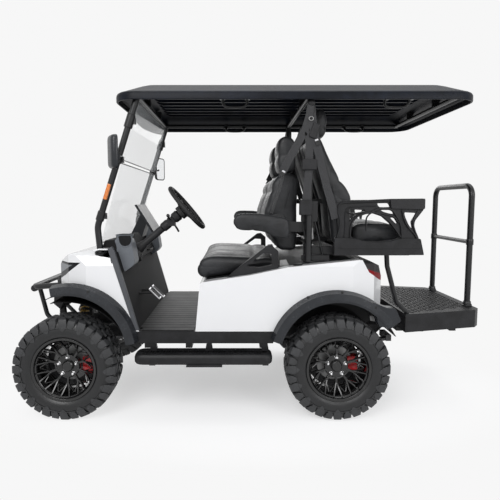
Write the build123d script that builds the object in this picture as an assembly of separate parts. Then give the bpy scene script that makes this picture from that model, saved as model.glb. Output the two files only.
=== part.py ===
# Electric utility vehicle: a lifted two-plus-two buggy with a long roof and a rear-facing back seat.
# Millimetres, +Z up, ground at Z = 0, front towards -X, the vehicle's left side towards -Y.
# The origin is the middle of the whole vehicle's footprint.
from build123d import *
import math
import os

os.makedirs("parts", exist_ok=True)

# Driving dimensions: wheels and axles
WHEELBASE = 1655.0
FRONT_AXLE_X = -1140.0
REAR_AXLE_X = FRONT_AXLE_X + WHEELBASE
TYRE_RADIUS = 318.0
TYRE_WIDTH = 214.0
TREAD_FLAT = 176.0
BEAD_RADIUS = 181.5
RIM_WIDTH = 194.0
RIM_FLANGE_RADIUS = 196.0
RIM_WALL = 5.5
WHEEL_CENTRE_Y = 542.0
HUB_RADIUS = 74.0
SPOKES = 10
DISC_RADIUS = 112.0
DISC_THICKNESS = 8.0
DISC_OFFSET = 42.0
STUB_RADIUS = 16.0
STUB_REACH = 12.0
AXLE_Z = TYRE_RADIUS

# Driving dimensions: steering and front suspension
KINGPIN_Y = 425.0
KNUCKLE_RADIUS = 22.0
LOWER_ARM_Z = 232.0
UPPER_ARM_Z = 416.0
ARM_THICKNESS = 26.0
ARM_BASE = 140.0
BALL_GAP = 0.5
STEERING_ARM = 110.0
STEERING_ARM_Z = 296.0
TIE_ROD_RADIUS = 11.0
RACK_RADIUS = 24.0
RUNNING_GAP = 0.3

# Driving dimensions: frame
RAIL_Y = 170.0
RAIL_WIDTH = 50.0
RAIL_TOP = 470.0
RAIL_HEIGHT = 80.0
OUTRIGGER_BOTTOM = 440.0
TOWER_Y = 190.0
TOWER_TOP = 662.0
FRAME_FRONT_X = -1320.0
FRAME_REAR_X = 1380.0

# Driving dimensions: body
BODY_HALF = 600.0
BODY_WALL = 6.0
WELL_HALF = BODY_HALF - 75.0
SILL_TOP = 545.0
SILL_BOTTOM = 470.0
FLOOR_TOP = 550.0
FLOOR_THICKNESS = 25.0
DOOR_FRONT_X = -690.0
DOOR_REAR_X = -349.0
FRONT_ARCH = (-1100.0, 430.0)
REAR_ARCH = (500.0, 388.0)
ARCH_RADIUS = 345.0
FLARE_DEPTH = 66.0
FLARE_OUT = 60.0
FLARE_WALL = 5.0
FRONT_INNER_Y = 262.0
REAR_INNER_Y = 398.0

# Driving dimensions: roof and posts
ROOF_FRONT_X = -855.0
ROOF_REAR_X = 1375.0
ROOF_HALF = BODY_HALF
ROOF_CORNER = 200.0
ROOF_LIP_Z = 1915.0
ROOF_LIP_HEIGHT = 54.0
ROOF_CROWN = 70.0
ROOF_SLOPE = 130.0
ROOF_WALL = 10.0
ROOF_RIBS = 5
POST_DIAMETER = 38.0
POST_Y = BODY_HALF - 52.0
CENTRE_POST_X = 335.0
GLASS = 5.0

# Driving dimensions: seats
SEAT_HALF = BODY_HALF - 115.0
SEAT_PITCH = SEAT_HALF + 5.0
BACK_WIDTH = SEAT_PITCH - 35.0
ARMREST_PIVOT = (188.0, 1172.0)
ARMREST_PIN_RADIUS = 9.0
ARMREST_INNER = SEAT_HALF + 11.0
ARMREST_WIDTH = 72.0
SIDE_FRAME_Y = SEAT_HALF + 55.0
SEAT_BRACKET_Y = SEAT_HALF - 15.0
SIDE_FRAME_THICKNESS = 34.0

# Driving dimensions: step, bars, bumper and mirrors
STEP_TOP = 625.0
STEP_DEPTH = 115.0
STEP_FRONT_X = 955.0
STEP_REAR_X = 1495.0
STEP_HALF = SEAT_BRACKET_Y + 35.0
GRAB_X = 1462.0
GRAB_TOP = 1452.0
GRAB_HALF = 265.0
TUBE = 38.0
GUARD_TIP_X = -1495.0
BOARD_TOP = 428.0
BOARD_THICKNESS = 38.0
MIRROR_Y = POST_Y + 107.0
BOARD_OUT = 90.0

# Driving dimensions: steering wheel
WHEEL_RIM = 179.0
WHEEL_TUBE = 15.0
COLUMN_ANGLE = 40.0
STEER_CENTRE = (-430.0, -265.0, 1287.0)


def outline(points, corner=0.0):
    """Closed flat face through (across, up) points, its corners rounded by one radius."""
    face = make_face(Polyline(*points, close=True))
    if corner:
        face = fillet(face.vertices(), corner)
    return face


def across(face, y_low, y_high):
    """Prism of a side view (X, Z) between two Y values."""
    return Plane((0, y_high, 0), x_dir=(1, 0, 0), z_dir=(0, -1, 0)) * extrude(face, y_high - y_low)


def upward(face, z_low, z_high):
    """Prism of a plan view (X, Y) between two heights."""
    return Pos(0, 0, z_low) * extrude(face, z_high - z_low)


def along(face, x_low, x_high):
    """Prism of a front view (Y, Z) between two X values."""
    return Plane((x_low, 0, 0), x_dir=(0, 1, 0), z_dir=(1, 0, 0)) * extrude(face, x_high - x_low)


def block(x, y, z):
    """Box from its (low, high) pair along each axis."""
    return Pos((x[0] + x[1]) / 2, (y[0] + y[1]) / 2, (z[0] + z[1]) / 2) * Box(
        x[1] - x[0], y[1] - y[0], z[1] - z[0])


def rod(start, end, radius):
    """Straight round bar between two points."""
    line = Line(start, end)
    return sweep(Plane(start, z_dir=line % 0) * Circle(radius), path=line)


def tube(points, diameter, bend):
    """Round bar along straight runs joined by bends of one radius."""
    path = FilletPolyline(*points, radius=bend)
    return sweep(Plane(points[0], z_dir=path % 0) * Circle(diameter / 2), path=path)


def lathe(points, arc=360.0):
    """Solid of revolution about the Y axis of a section given as (y, radius)."""
    return revolve(Plane.YZ * outline(points), Axis.Y, arc)


def both(piece):
    """A left piece and its mirror image on the right."""
    return [piece, mirror(piece, about=Plane.XZ)]


def save(name, pieces):
    solids = [solid for piece in pieces for solid in piece.solids()]
    shape = solids[0] if len(solids) == 1 else Compound(children=solids)
    export_step(shape, f"parts/{name}.step")


# Wheels: made round the Y axis with the outer face towards -Y, for the left side
def tyre():
    half = TYRE_WIDTH / 2
    flat = TREAD_FLAT / 2
    bead = RIM_WIDTH / 2 - 11.5
    section = [
        (-bead, BEAD_RADIUS + RUNNING_GAP), (-bead - 4, RIM_FLANGE_RADIUS + 1),
        (-half + 6, RIM_FLANGE_RADIUS + 16), (-half, RIM_FLANGE_RADIUS + 50),
        (-half, TYRE_RADIUS - 35), (-half + 8, TYRE_RADIUS - 6), (-flat, TYRE_RADIUS),
    ]
    mirrored = [(-y, r) for y, r in reversed(section)]
    return lathe(section + mirrored)


def rim():
    half = RIM_WIDTH / 2
    well = BEAD_RADIUS - RIM_WALL
    barrel = lathe([
        (-half, RIM_FLANGE_RADIUS), (-half + 7, RIM_FLANGE_RADIUS), (-half + 11, BEAD_RADIUS),
        (half - 11, BEAD_RADIUS), (half - 7, RIM_FLANGE_RADIUS), (half, RIM_FLANGE_RADIUS),
        (half - 4, well), (-half + 4, well)])
    dish = lathe([
        (4, 0), (-22, 0), (-22, HUB_RADIUS - 6), (-38, 120), (-76, 165), (-80, well + 1),
        (-56, well + 1), (-44, 150), (4, 108)])
    spoke = make_hull([
        *(Pos(0, HUB_RADIUS - 20) * Circle(11)).edges(), *(Pos(0, 112) * Circle(7)).edges()])
    fork = make_hull([
        *(Pos(0, 108) * Circle(7)).edges(), *(Pos(27, well + 4) * Circle(7)).edges()])
    star = Circle(HUB_RADIUS) + [
        Rot(0, 0, 360 / SPOKES * turn) * (spoke + fork + mirror(fork, about=Plane.YZ))
        for turn in range(SPOKES)]
    ring = Circle(well + 4) - Circle(well - 6)
    windows = Plane((0, 0, 0), x_dir=(1, 0, 0), z_dir=(0, -1, 0)) * extrude(star + ring, 100, both=True)
    disc = lathe([
        (DISC_OFFSET, 45), (DISC_OFFSET, DISC_RADIUS),
        (DISC_OFFSET + DISC_THICKNESS, DISC_RADIUS), (DISC_OFFSET + DISC_THICKNESS, 45)])
    hat = lathe([(2, 40), (2, 52), (DISC_OFFSET + DISC_THICKNESS, 52), (DISC_OFFSET + DISC_THICKNESS, 40)])
    bore = lathe([(-14, 0), (-14, STUB_RADIUS + RUNNING_GAP), (10, STUB_RADIUS + RUNNING_GAP), (10, 0)])
    return barrel + ((dish & windows) - bore) + disc + hat


WHEELS = {
    "front_left": (FRONT_AXLE_X, -1), "front_right": (FRONT_AXLE_X, 1),
    "rear_left": (REAR_AXLE_X, -1), "rear_right": (REAR_AXLE_X, 1),
}
TYRE = tyre()
RIM = rim()
for wheel_name, (axle_x, side) in WHEELS.items():
    turn = Rot(0, 0, 0 if side < 0 else 180)
    place = Pos(axle_x, side * WHEEL_CENTRE_Y, AXLE_Z) * turn
    save(f"tyre_{wheel_name}", [place * TYRE])
    save(f"rim_{wheel_name}", [place * RIM])


# Front knuckles: an upright on the kingpin, a stub axle, a steering arm and the brake caliper
def knuckle():
    upright = rod((FRONT_AXLE_X, -KINGPIN_Y, LOWER_ARM_Z + ARM_THICKNESS / 2 + BALL_GAP),
                  (FRONT_AXLE_X, -KINGPIN_Y, UPPER_ARM_Z - ARM_THICKNESS / 2 - BALL_GAP), KNUCKLE_RADIUS)
    hub_inner = WHEEL_CENTRE_Y - DISC_OFFSET - DISC_THICKNESS
    stub = rod((FRONT_AXLE_X, -KINGPIN_Y, AXLE_Z), (FRONT_AXLE_X, -WHEEL_CENTRE_Y - STUB_REACH, AXLE_Z), STUB_RADIUS)
    flange = rod((FRONT_AXLE_X, -KINGPIN_Y - 10, AXLE_Z), (FRONT_AXLE_X, -hub_inner + 14, AXLE_Z), 36)
    arm = block((FRONT_AXLE_X, FRONT_AXLE_X + STEERING_ARM),
                (-KINGPIN_Y - 10, -KINGPIN_Y + 12), (STEERING_ARM_Z - 8, STEERING_ARM_Z + 8))
    eye = Pos(FRONT_AXLE_X + STEERING_ARM, -KINGPIN_Y + 1, STEERING_ARM_Z) * Cylinder(18, 16)
    return upright + stub + flange + arm + eye


def caliper(axle_x):
    """Brake caliper astride the disc, behind the axle."""
    y_disc = WHEEL_CENTRE_Y - DISC_OFFSET
    body = block((axle_x + 78, axle_x + 140), (-y_disc - 24, -y_disc + 34), (AXLE_Z - 45, AXLE_Z + 45))
    slot = block((axle_x + 60, axle_x + DISC_RADIUS + 6),
                 (-y_disc - 5, -y_disc + DISC_THICKNESS + 5), (AXLE_Z - 90, AXLE_Z + 90))
    ear = block((axle_x + 30, axle_x + 90), (-y_disc + 16, -y_disc + 30), (AXLE_Z - 20, AXLE_Z + 20))
    return (body & Pos(axle_x, 0, AXLE_Z) * Rot(90, 0, 0) * Cylinder(158, 2000)) - slot, ear


CALIPER, CALIPER_EAR = caliper(FRONT_AXLE_X)
REAR_CALIPER, REAR_EAR = caliper(REAR_AXLE_X)
KNUCKLE = knuckle() + CALIPER_EAR
save("knuckle_left", [KNUCKLE])
save("knuckle_right", [mirror(KNUCKLE, about=Plane.XZ)])
save("caliper_front_left", [CALIPER - CALIPER_EAR])
save("caliper_front_right", [mirror(CALIPER - CALIPER_EAR, about=Plane.XZ)])

# Tie rod: slides in the rack housing, an eye over each steering arm
TIE_X = FRONT_AXLE_X + STEERING_ARM
TIE_Z = STEERING_ARM_Z + 8 + BALL_GAP + TIE_ROD_RADIUS
TIE_ROD = rod((TIE_X, -KINGPIN_Y - 10, TIE_Z), (TIE_X, KINGPIN_Y + 10, TIE_Z), TIE_ROD_RADIUS)
save("tie_rod", [TIE_ROD])


# Front suspension: upper and lower wishbones, and the rack housing on the crossmember
def wishbone(z, inner_y):
    leg = ARM_THICKNESS / 2
    shape = outline([
        (FRONT_AXLE_X - ARM_BASE / 2, -inner_y), (FRONT_AXLE_X + ARM_BASE / 2, -inner_y),
        (FRONT_AXLE_X + 22, -KINGPIN_Y + 12), (FRONT_AXLE_X + 18, -KINGPIN_Y - 16),
        (FRONT_AXLE_X - 18, -KINGPIN_Y - 16), (FRONT_AXLE_X - 22, -KINGPIN_Y + 12)])
    window = outline([
        (FRONT_AXLE_X - ARM_BASE / 2 + 26, -inner_y - 25), (FRONT_AXLE_X + ARM_BASE / 2 - 26, -inner_y - 25),
        (FRONT_AXLE_X + 8, -KINGPIN_Y + 70), (FRONT_AXLE_X - 8, -KINGPIN_Y + 70)])
    return upward(shape - window, z - leg, z + leg)


RAIL_INNER = RAIL_Y - RAIL_WIDTH / 2
RAIL_OUTER = RAIL_Y + RAIL_WIDTH / 2
RAIL_BOTTOM = RAIL_TOP - RAIL_HEIGHT
FRONT_MEMBER = block((FRONT_AXLE_X - 90, FRONT_AXLE_X + 90), (-RAIL_INNER, RAIL_INNER), (205, RAIL_BOTTOM + 20))
FRONT_MEMBER -= Pos(TIE_X, 0, TIE_Z) * Rot(90, 0, 0) * Cylinder(RACK_RADIUS, 400)
RACK = (Pos(TIE_X, 0, TIE_Z) * Rot(90, 0, 0) * Cylinder(RACK_RADIUS, 300)
        - Pos(TIE_X, 0, TIE_Z) * Rot(90, 0, 0) * Cylinder(TIE_ROD_RADIUS + RUNNING_GAP, 400))
LOWER_ARM = wishbone(LOWER_ARM_Z, RAIL_INNER)
UPPER_ARM = wishbone(UPPER_ARM_Z, RAIL_OUTER)
save("front_suspension", both(LOWER_ARM) + both(UPPER_ARM) + [RACK])


# Frame: two rails, and the members, outriggers, risers and damper towers fixed to them
RAIL = block((FRAME_FRONT_X, FRAME_REAR_X), (-RAIL_OUTER, -RAIL_INNER), (RAIL_BOTTOM, RAIL_TOP))
MEMBERS = [FRONT_MEMBER]
for member_x in (FRAME_FRONT_X + 30, -640, -100, 180, 820, 1200):
    MEMBERS.append(block((member_x - 25, member_x + 25), (-RAIL_INNER, RAIL_INNER), (RAIL_TOP - 60, RAIL_TOP)))
for outrigger_x in (-640, -390, 60):
    MEMBERS += both(block((outrigger_x - 20, outrigger_x + 20), (-BODY_HALF + 12, -RAIL_OUTER),
                          (OUTRIGGER_BOTTOM, RAIL_TOP)))
for riser_x in (985, 1340):
    MEMBERS.append(block((riser_x - 20, riser_x + 20), (-330, 330), (RAIL_TOP, STEP_TOP - STEP_DEPTH)))
MEMBERS += both(block((FRONT_AXLE_X - 40, FRONT_AXLE_X + 40), (-TOWER_Y - 15, -TOWER_Y + 15), (RAIL_TOP, TOWER_TOP)))
save("frame_rails", both(RAIL))
save("frame_members", MEMBERS)


# Coil-over dampers, front and rear
def damper(foot, head):
    foot = Vector(*foot)
    head = Vector(*head)
    line = head - foot
    body = rod(foot, foot + line * 0.5, 17) + rod(foot, head, 8)
    coil = rod(foot + line * 0.28, foot + line * 0.86, 30)
    return body + coil


FRONT_DAMPER = damper((FRONT_AXLE_X, -335, UPPER_ARM_Z), (FRONT_AXLE_X, -TOWER_Y - 18, TOWER_TOP - 22))
FRONT_DAMPER -= block((-1300, -1000), (-500, 0), (0, UPPER_ARM_Z + ARM_THICKNESS / 2))
for member in MEMBERS:
    FRONT_DAMPER -= member
save("dampers", both(FRONT_DAMPER))

# Rear axle: a straight tube with a gear case, springs under the rails, brake calipers
HUB_FACE = WHEEL_CENTRE_Y - DISC_OFFSET - DISC_THICKNESS
AXLE_TUBE = rod((REAR_AXLE_X, -HUB_FACE + 14, AXLE_Z), (REAR_AXLE_X, HUB_FACE - 14, AXLE_Z), 34)
AXLE_SHAFT = rod((REAR_AXLE_X, -WHEEL_CENTRE_Y - STUB_REACH, AXLE_Z),
                 (REAR_AXLE_X, WHEEL_CENTRE_Y + STUB_REACH, AXLE_Z), STUB_RADIUS)
GEAR_CASE = Pos(REAR_AXLE_X, 60, AXLE_Z) * Rot(90, 0, 0) * Cylinder(95, 130)
REAR_AXLE = AXLE_TUBE + AXLE_SHAFT + GEAR_CASE + REAR_EAR + mirror(REAR_EAR, about=Plane.XZ)
save("rear_axle", [REAR_AXLE])
save("calipers_rear", both(REAR_CALIPER - REAR_EAR))
MOTOR = Pos(REAR_AXLE_X + 40, -115, AXLE_Z - 20) * Rot(90, 0, 0) * Cylinder(85, 210)
save("drive_motor", [MOTOR - (AXLE_TUBE + GEAR_CASE)])


def leaf_spring():
    """Leaf pack on the axle tube with its eyes hung from the frame."""
    spring_y = -300
    reach = 400
    leaf = across(outline([
        (REAR_AXLE_X - reach, 405), (REAR_AXLE_X - 200, 372), (REAR_AXLE_X - 60, 352), (REAR_AXLE_X + 60, 352),
        (REAR_AXLE_X + 200, 372), (REAR_AXLE_X + reach, 405), (REAR_AXLE_X + reach, 420),
        (REAR_AXLE_X + 200, 393), (REAR_AXLE_X + 60, 384), (REAR_AXLE_X - 60, 384),
        (REAR_AXLE_X - 200, 393), (REAR_AXLE_X - reach, 420)]), spring_y - 25, spring_y + 25)
    for eye_x in (REAR_AXLE_X - reach, REAR_AXLE_X + reach):
        leaf += block((eye_x - 18, eye_x + 18), (spring_y - 30, -RAIL_Y - RAIL_WIDTH / 2), (400, 440))
    return leaf


save("leaf_springs", both(leaf_spring()))
save("battery_pack", [block((-270, 60), (-380, 380), (RAIL_TOP, 790))])


# Body outlines, seen from the side as (X, Z), from above as (X, Y) and from the front as (Y, Z)
FRONT_SIDE = [
    (DOOR_FRONT_X, SILL_TOP), (-853, 1015), (-930, 1040), (-1118, 1010), (-1195, 962), (-1262, 862),
    (-1272, 800), (-1240, 752), (-1150, 740), (-900, 600), (-780, SILL_TOP)]
FRONT_PLAN = [
    (DOOR_FRONT_X, -BODY_HALF), (-1000, -BODY_HALF), (-1120, 45 - BODY_HALF), (-1215, 170 - BODY_HALF),
    (-1262, 350 - BODY_HALF), (-1275, 0), (-1262, BODY_HALF - 350), (-1215, BODY_HALF - 170),
    (-1120, BODY_HALF - 45), (-1000, BODY_HALF), (DOOR_FRONT_X, BODY_HALF)]
FRONT_VIEW = [
    (-BODY_HALF, 400), (-BODY_HALF, 945), (25 - BODY_HALF, 1002), (100 - BODY_HALF, 1040), (300 - BODY_HALF, 1052),
    (BODY_HALF - 300, 1052), (BODY_HALF - 100, 1040), (BODY_HALF - 25, 1002), (BODY_HALF, 945), (BODY_HALF, 400)]
REAR_SIDE = [
    (DOOR_REAR_X, SILL_TOP), (-322, 835), (-300, 846), (-20, 888), (208, 936), (640, 978), (700, 972),
    (778, 935), (815, 838), (822, 700), (800, SILL_TOP)]
REAR_PLAN = [
    (DOOR_REAR_X, -BODY_HALF), (600, -BODY_HALF), (735, 40 - BODY_HALF), (805, 130 - BODY_HALF), (825, 300 - BODY_HALF),
    (825, BODY_HALF - 300), (805, BODY_HALF - 130), (735, BODY_HALF - 40), (600, BODY_HALF), (DOOR_REAR_X, BODY_HALF)]


def shell(side, plan, front, low):
    """Thin moulding whose three views are given, open underneath below the height low."""
    views = [outline(side), outline(plan), outline(front)]
    inner = [offset(view, -BODY_WALL, kind=Kind.INTERSECTION) for view in views]
    reach = 2 * BODY_HALF
    outside = across(views[0], -reach, reach) & upward(views[1], 300, 1200) & along(views[2], -1400, 1400)
    inside = across(inner[0], -reach, reach) & upward(inner[1], 300, 1200) & along(inner[2], -1400, 1400)
    floor_cut = block((-1400, 1400), (-BODY_HALF + BODY_WALL, BODY_HALF - BODY_WALL), (300, low))
    return outside, outside - inside - (floor_cut & upward(inner[1], 300, low))


def arch_cut(centre, inner_y, radius=ARCH_RADIUS + FLARE_WALL + RUNNING_GAP):
    """The two wheel spaces that an arch opens in the body."""
    hole = Pos(centre[0], 0, centre[1]) * Rot(90, 0, 0) * Cylinder(radius, 2000)
    skirt = block((centre[0] - radius, centre[0] + radius), (-1000, 1000), (0, centre[1]))
    return (hole + skirt) - block((-2000, 2000), (-inner_y, inner_y), (-10, 2000))


DASH_OPENING = across(outline([(-652, 526), (-820, 1010), (-800, 1080), (-930, 1080), (-930, 1000), (-859, 990), (-692, 513)]),
                      -BODY_HALF + BODY_WALL, BODY_HALF - BODY_WALL)
FRONT_BLOCK, FRONT_SHELL = shell(FRONT_SIDE, FRONT_PLAN, FRONT_VIEW, SILL_TOP + 100)
FRONT_SHELL = FRONT_SHELL - arch_cut(FRONT_ARCH, FRONT_INNER_Y) - DASH_OPENING
LAMP_SIDES = across(outline([(-1190, 958), (-1035, 962), (-1150, 880), (-1230, 836), (-1300, 900)]),
                    -BODY_HALF - 20, 220 - BODY_HALF)
HEADLAMP = FRONT_SHELL & LAMP_SIDES
REAR_VIEW = [
    (-BODY_HALF, 400), (-BODY_HALF, 940), (15 - BODY_HALF, 985), (BODY_HALF - 15, 985), (BODY_HALF, 940), (BODY_HALF, 400)]
WELL = block((-290, 610), (-WELL_HALF, WELL_HALF), (700, 1200))
REAR_BLOCK, REAR_SHELL = shell(REAR_SIDE, REAR_PLAN, REAR_VIEW, SILL_TOP + 60)
REAR_SHELL = REAR_SHELL - arch_cut(REAR_ARCH, REAR_INNER_Y) - WELL
TAIL_SIDES = across(outline([(650, 985), (700, 985), (800, 950), (840, 830), (790, 842), (700, 900)]),
                    -BODY_HALF - 20, 200 - BODY_HALF)
TAIL_LAMP = REAR_SHELL & TAIL_SIDES
save("front_body", [FRONT_SHELL - LAMP_SIDES - mirror(LAMP_SIDES, about=Plane.XZ)])
save("headlamps", both(HEADLAMP))
save("rear_body", [REAR_SHELL - TAIL_SIDES - mirror(TAIL_SIDES, about=Plane.XZ)])
save("tail_lamps", both(TAIL_LAMP))


# Wheel flares: a sloping section turned about each arch's centre, and liners inside the arches
def ring_piece(section, centre, first, last):
    """Turn a (y, radius) section about an arch's centre from one angle to another."""
    hinge = Axis((0, 0, 0), (0, -1, 0))
    piece = revolve(Plane.XY * outline([(r, y) for y, r in section]), hinge, last - first)
    return Pos(centre[0], 0, centre[1]) * Rot(0, -first, 0) * piece


FLARE_SECTION = [
    (-BODY_HALF - 0.3, ARCH_RADIUS + FLARE_DEPTH), (-BODY_HALF - FLARE_OUT + 8, ARCH_RADIUS + FLARE_DEPTH - 14),
    (-BODY_HALF - FLARE_OUT, ARCH_RADIUS + 14), (-BODY_HALF - FLARE_OUT + 2, ARCH_RADIUS),
    (-BODY_HALF + 20, ARCH_RADIUS), (-BODY_HALF + 20, ARCH_RADIUS + FLARE_WALL),
    (-BODY_HALF - FLARE_OUT + 8, ARCH_RADIUS + FLARE_WALL), (-BODY_HALF - FLARE_OUT + 14, ARCH_RADIUS + FLARE_DEPTH - 20),
    (-BODY_HALF - 0.3, ARCH_RADIUS + FLARE_DEPTH - 6)]
FRONT_FLARE = ring_piece(FLARE_SECTION, FRONT_ARCH, 8, 105)
REAR_FLARE = ring_piece(FLARE_SECTION, REAR_ARCH, 33, 164)
save("wheel_flares", both(FRONT_FLARE) + both(REAR_FLARE))


def liner(centre, inner_y, first, last):
    section = [
        (-BODY_HALF + 14, ARCH_RADIUS - RUNNING_GAP), (-BODY_HALF + 14, ARCH_RADIUS - 5),
        (-inner_y - 4, ARCH_RADIUS - 5), (-inner_y - 4, ARCH_RADIUS - 70), (-inner_y, ARCH_RADIUS - 70),
        (-inner_y, ARCH_RADIUS - RUNNING_GAP)]
    return ring_piece(section, centre, first, last)


save("arch_liners", both(liner(FRONT_ARCH, FRONT_INNER_Y, 10, 120)) + both(liner(REAR_ARCH, REAR_INNER_Y, 33, 162)))

# Sills and floor
SILL_SIDE = outline([(-712, SILL_BOTTOM), (120, SILL_BOTTOM), (150, SILL_TOP), (-735, SILL_TOP)])
save("sills", both(across(SILL_SIDE, -BODY_HALF + 4, -BODY_HALF + 60)))
FLOOR = block((DOOR_FRONT_X - 26, DOOR_REAR_X), (-BODY_HALF + 62, BODY_HALF - 62), (FLOOR_TOP - FLOOR_THICKNESS, FLOOR_TOP))
FLOOR += block((DOOR_FRONT_X + 12, DOOR_REAR_X - 10), (-BODY_HALF + 8, BODY_HALF - 8), (SILL_TOP, FLOOR_TOP))
save("floor", [FLOOR])


# Dash: hollow moulding with a thick top and a kick panel down to the floor, clear of the front arches
KNEE_X = FRONT_ARCH[0] + ARCH_RADIUS - 25
FOOT_X = FRONT_ARCH[0] + ARCH_RADIUS + 40


def dash():
    half = BODY_HALF - BODY_WALL - 6
    top_half = POST_Y - POST_DIAMETER / 2 - 4
    side = outline([
        (-925, 1046), (-905, 1098), (-800, 1110), (-765, 1070), (-752, 930), (-800, 880), (KNEE_X + 25, 720),
        (FOOT_X + 25, FLOOR_TOP), (FOOT_X, FLOOR_TOP), (KNEE_X, 715), (-842, 900), (-842, 1000), (-925, 1030)])
    cheek = outline([
        (-842, 990), (-800, 990), (-764, 990), (-758, 930), (-800, 880), (KNEE_X + 25, 720),
        (FOOT_X + 25, FLOOR_TOP), (FOOT_X, FLOOR_TOP), (KNEE_X, 715), (-842, 900)])
    body = across(side, -top_half, top_half) + across(cheek, -half, half)
    for pod_y in (150 - BODY_HALF, BODY_HALF - 150):
        body += Pos(-800, pod_y, 1085) * Cylinder(52, 70)
        body -= Pos(-800, pod_y, 1100) * Cylinder(42, 90)
    return body


DASH = dash()
save("dash", [DASH])
DISPLAY_FACE = [(-806, 1304), (-790, 1308), (-672, 1118), (-684, 1108)]
DISPLAY = across(outline(DISPLAY_FACE, 4), -150, 150)
DISPLAY += across(outline([(-850, 1100), (-775, 1070), (-735, 1195), (-772, 1258)]), -70, 70)
save("display", [DISPLAY - DASH])

# Steering column and wheel
COLUMN_DIRECTION = Vector(math.cos(math.radians(COLUMN_ANGLE)), 0, math.sin(math.radians(COLUMN_ANGLE)))
STEER_POINT = Vector(*STEER_CENTRE)
COLUMN = rod(STEER_POINT - COLUMN_DIRECTION * 420, STEER_POINT - COLUMN_DIRECTION * 62.5, 24)
COLUMN += rod(STEER_POINT - COLUMN_DIRECTION * 340, STEER_POINT - COLUMN_DIRECTION * 140, 38)
save("steering_column", [COLUMN - DASH])


def steering_wheel():
    """Rim, three spokes and a hub, made flat and then tipped onto the column."""
    wheel = Torus(WHEEL_RIM - WHEEL_TUBE, WHEEL_TUBE)
    wheel += Pos(0, 0, -34) * Cylinder(46, 56)
    for angle in (0, 120, 240):
        wheel += Rot(0, 0, angle + 30) * Pos(95, 0, -18) * Rot(0, -12, 0) * Box(150, 30, 10)
    return Plane(STEER_CENTRE, x_dir=(0, 1, 0), z_dir=COLUMN_DIRECTION) * wheel


save("steering_wheel", [steering_wheel()])

# Pedals
PEDALS = []
for pedal_y, pedal_width in ((-330, 70), (-215, 90)):
    pad = across(outline([(-672, 762), (-598, 690), (-605, 680), (-682, 752)]), pedal_y - pedal_width / 2,
                 pedal_y + pedal_width / 2)
    PEDALS.append(pad + rod((KNEE_X, pedal_y, 722), (-650, pedal_y, 722), 9) - DASH)
save("pedals", PEDALS)

# Roof: crowned shell with a straight lip, ribs under it, and the tube frame that carries it
def roof_slab(inset, z_low, z_mid, z_top):
    """Rounded slab with a straight lip, a sloping shoulder and a slightly smaller crown."""
    length = ROOF_REAR_X - ROOF_FRONT_X
    middle = (ROOF_REAR_X + ROOF_FRONT_X) / 2
    low = RectangleRounded(length - 2 * inset, 2 * (ROOF_HALF - inset), ROOF_CORNER - inset)
    slope = inset + ROOF_SLOPE
    high = RectangleRounded(length - 2 * slope, 2 * (ROOF_HALF - slope), ROOF_CORNER - ROOF_SLOPE / 2 - inset)
    lip = Pos(middle, 0, z_low) * extrude(low, z_mid - z_low)
    crown = loft([Pos(middle, 0, z_mid) * low, Pos(middle, 0, z_top) * high], ruled=True)
    return lip + crown


LIP_TOP = ROOF_LIP_Z + ROOF_LIP_HEIGHT
ROOF = roof_slab(0, ROOF_LIP_Z, LIP_TOP, LIP_TOP + ROOF_CROWN)
ROOF -= roof_slab(ROOF_WALL, ROOF_LIP_Z - 1, LIP_TOP - ROOF_WALL, LIP_TOP + ROOF_CROWN - ROOF_WALL)
RIB_SPAN = 860.0
RIB_BASE = LIP_TOP + ROOF_CROWN - ROOF_WALL
for rib in range(ROOF_RIBS):
    rib_y = -RIB_SPAN / 2 + RIB_SPAN * rib / (ROOF_RIBS - 1)
    ROOF += block((ROOF_FRONT_X + 160, ROOF_REAR_X - 160), (rib_y - 8, rib_y + 8), (RIB_BASE - 22, RIB_BASE + 2))
save("roof", [ROOF])

RAIL_Z = 1950.0
roof_rail = rod((-705, -POST_Y + 30, RAIL_Z), (1240, -POST_Y + 30, RAIL_Z), 15)
ROOF_BARS = roof_rail + mirror(roof_rail, about=Plane.XZ)
for bar_x in (-690, CENTRE_POST_X, 1220):
    ROOF_BARS += rod((bar_x, -POST_Y + 20, RAIL_Z), (bar_x, POST_Y - 20, RAIL_Z), 15)
    for pad_y in (-RIB_SPAN / 4, RIB_SPAN / 4):
        ROOF_BARS += block((bar_x - 20, bar_x + 20), (pad_y - 15, pad_y + 15), (RAIL_Z, RIB_BASE - 22))
save("roof_frame", [ROOF_BARS])

# Posts: a bent front post and a straight centre post on each side
FRONT_POST = tube([(-682, -POST_Y, RAIL_Z), (-939, -POST_Y, 1175), (-925, -POST_Y, 1012)], POST_DIAMETER, 120)
FRONT_POST -= FRONT_BLOCK
CENTRE_POST = rod((CENTRE_POST_X, -POST_Y, 964), (CENTRE_POST_X, -POST_Y, RAIL_Z + 10), POST_DIAMETER / 2)
save("roof_posts", both(FRONT_POST - ROOF_BARS) + both(CENTRE_POST - ROOF_BARS))

# Windshield: two panes between the front posts, following their slope
def pane(x_low, z_low, x_high, z_high):
    half = POST_Y - POST_DIAMETER / 2 - RUNNING_GAP
    thick = GLASS / 2
    return across(outline([
        (x_low - thick, z_low), (x_low + thick, z_low), (x_high + thick, z_high), (x_high - thick, z_high)]), -half, half)


save("windshield", [pane(-928, 1070, -792, 1560), pane(-786, 1572, -688, 1925)])

# Mirrors: shell on an arm from the front post
MIRROR = Pos(-812, -MIRROR_Y, 1605) * Box(58, 150, 196)
MIRROR = fillet(MIRROR.edges(), 20)
MIRROR += rod((-806, -POST_Y - 19, 1590), (-812, -MIRROR_Y, 1600), 9)
save("mirrors", both(MIRROR - FRONT_POST))

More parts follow.
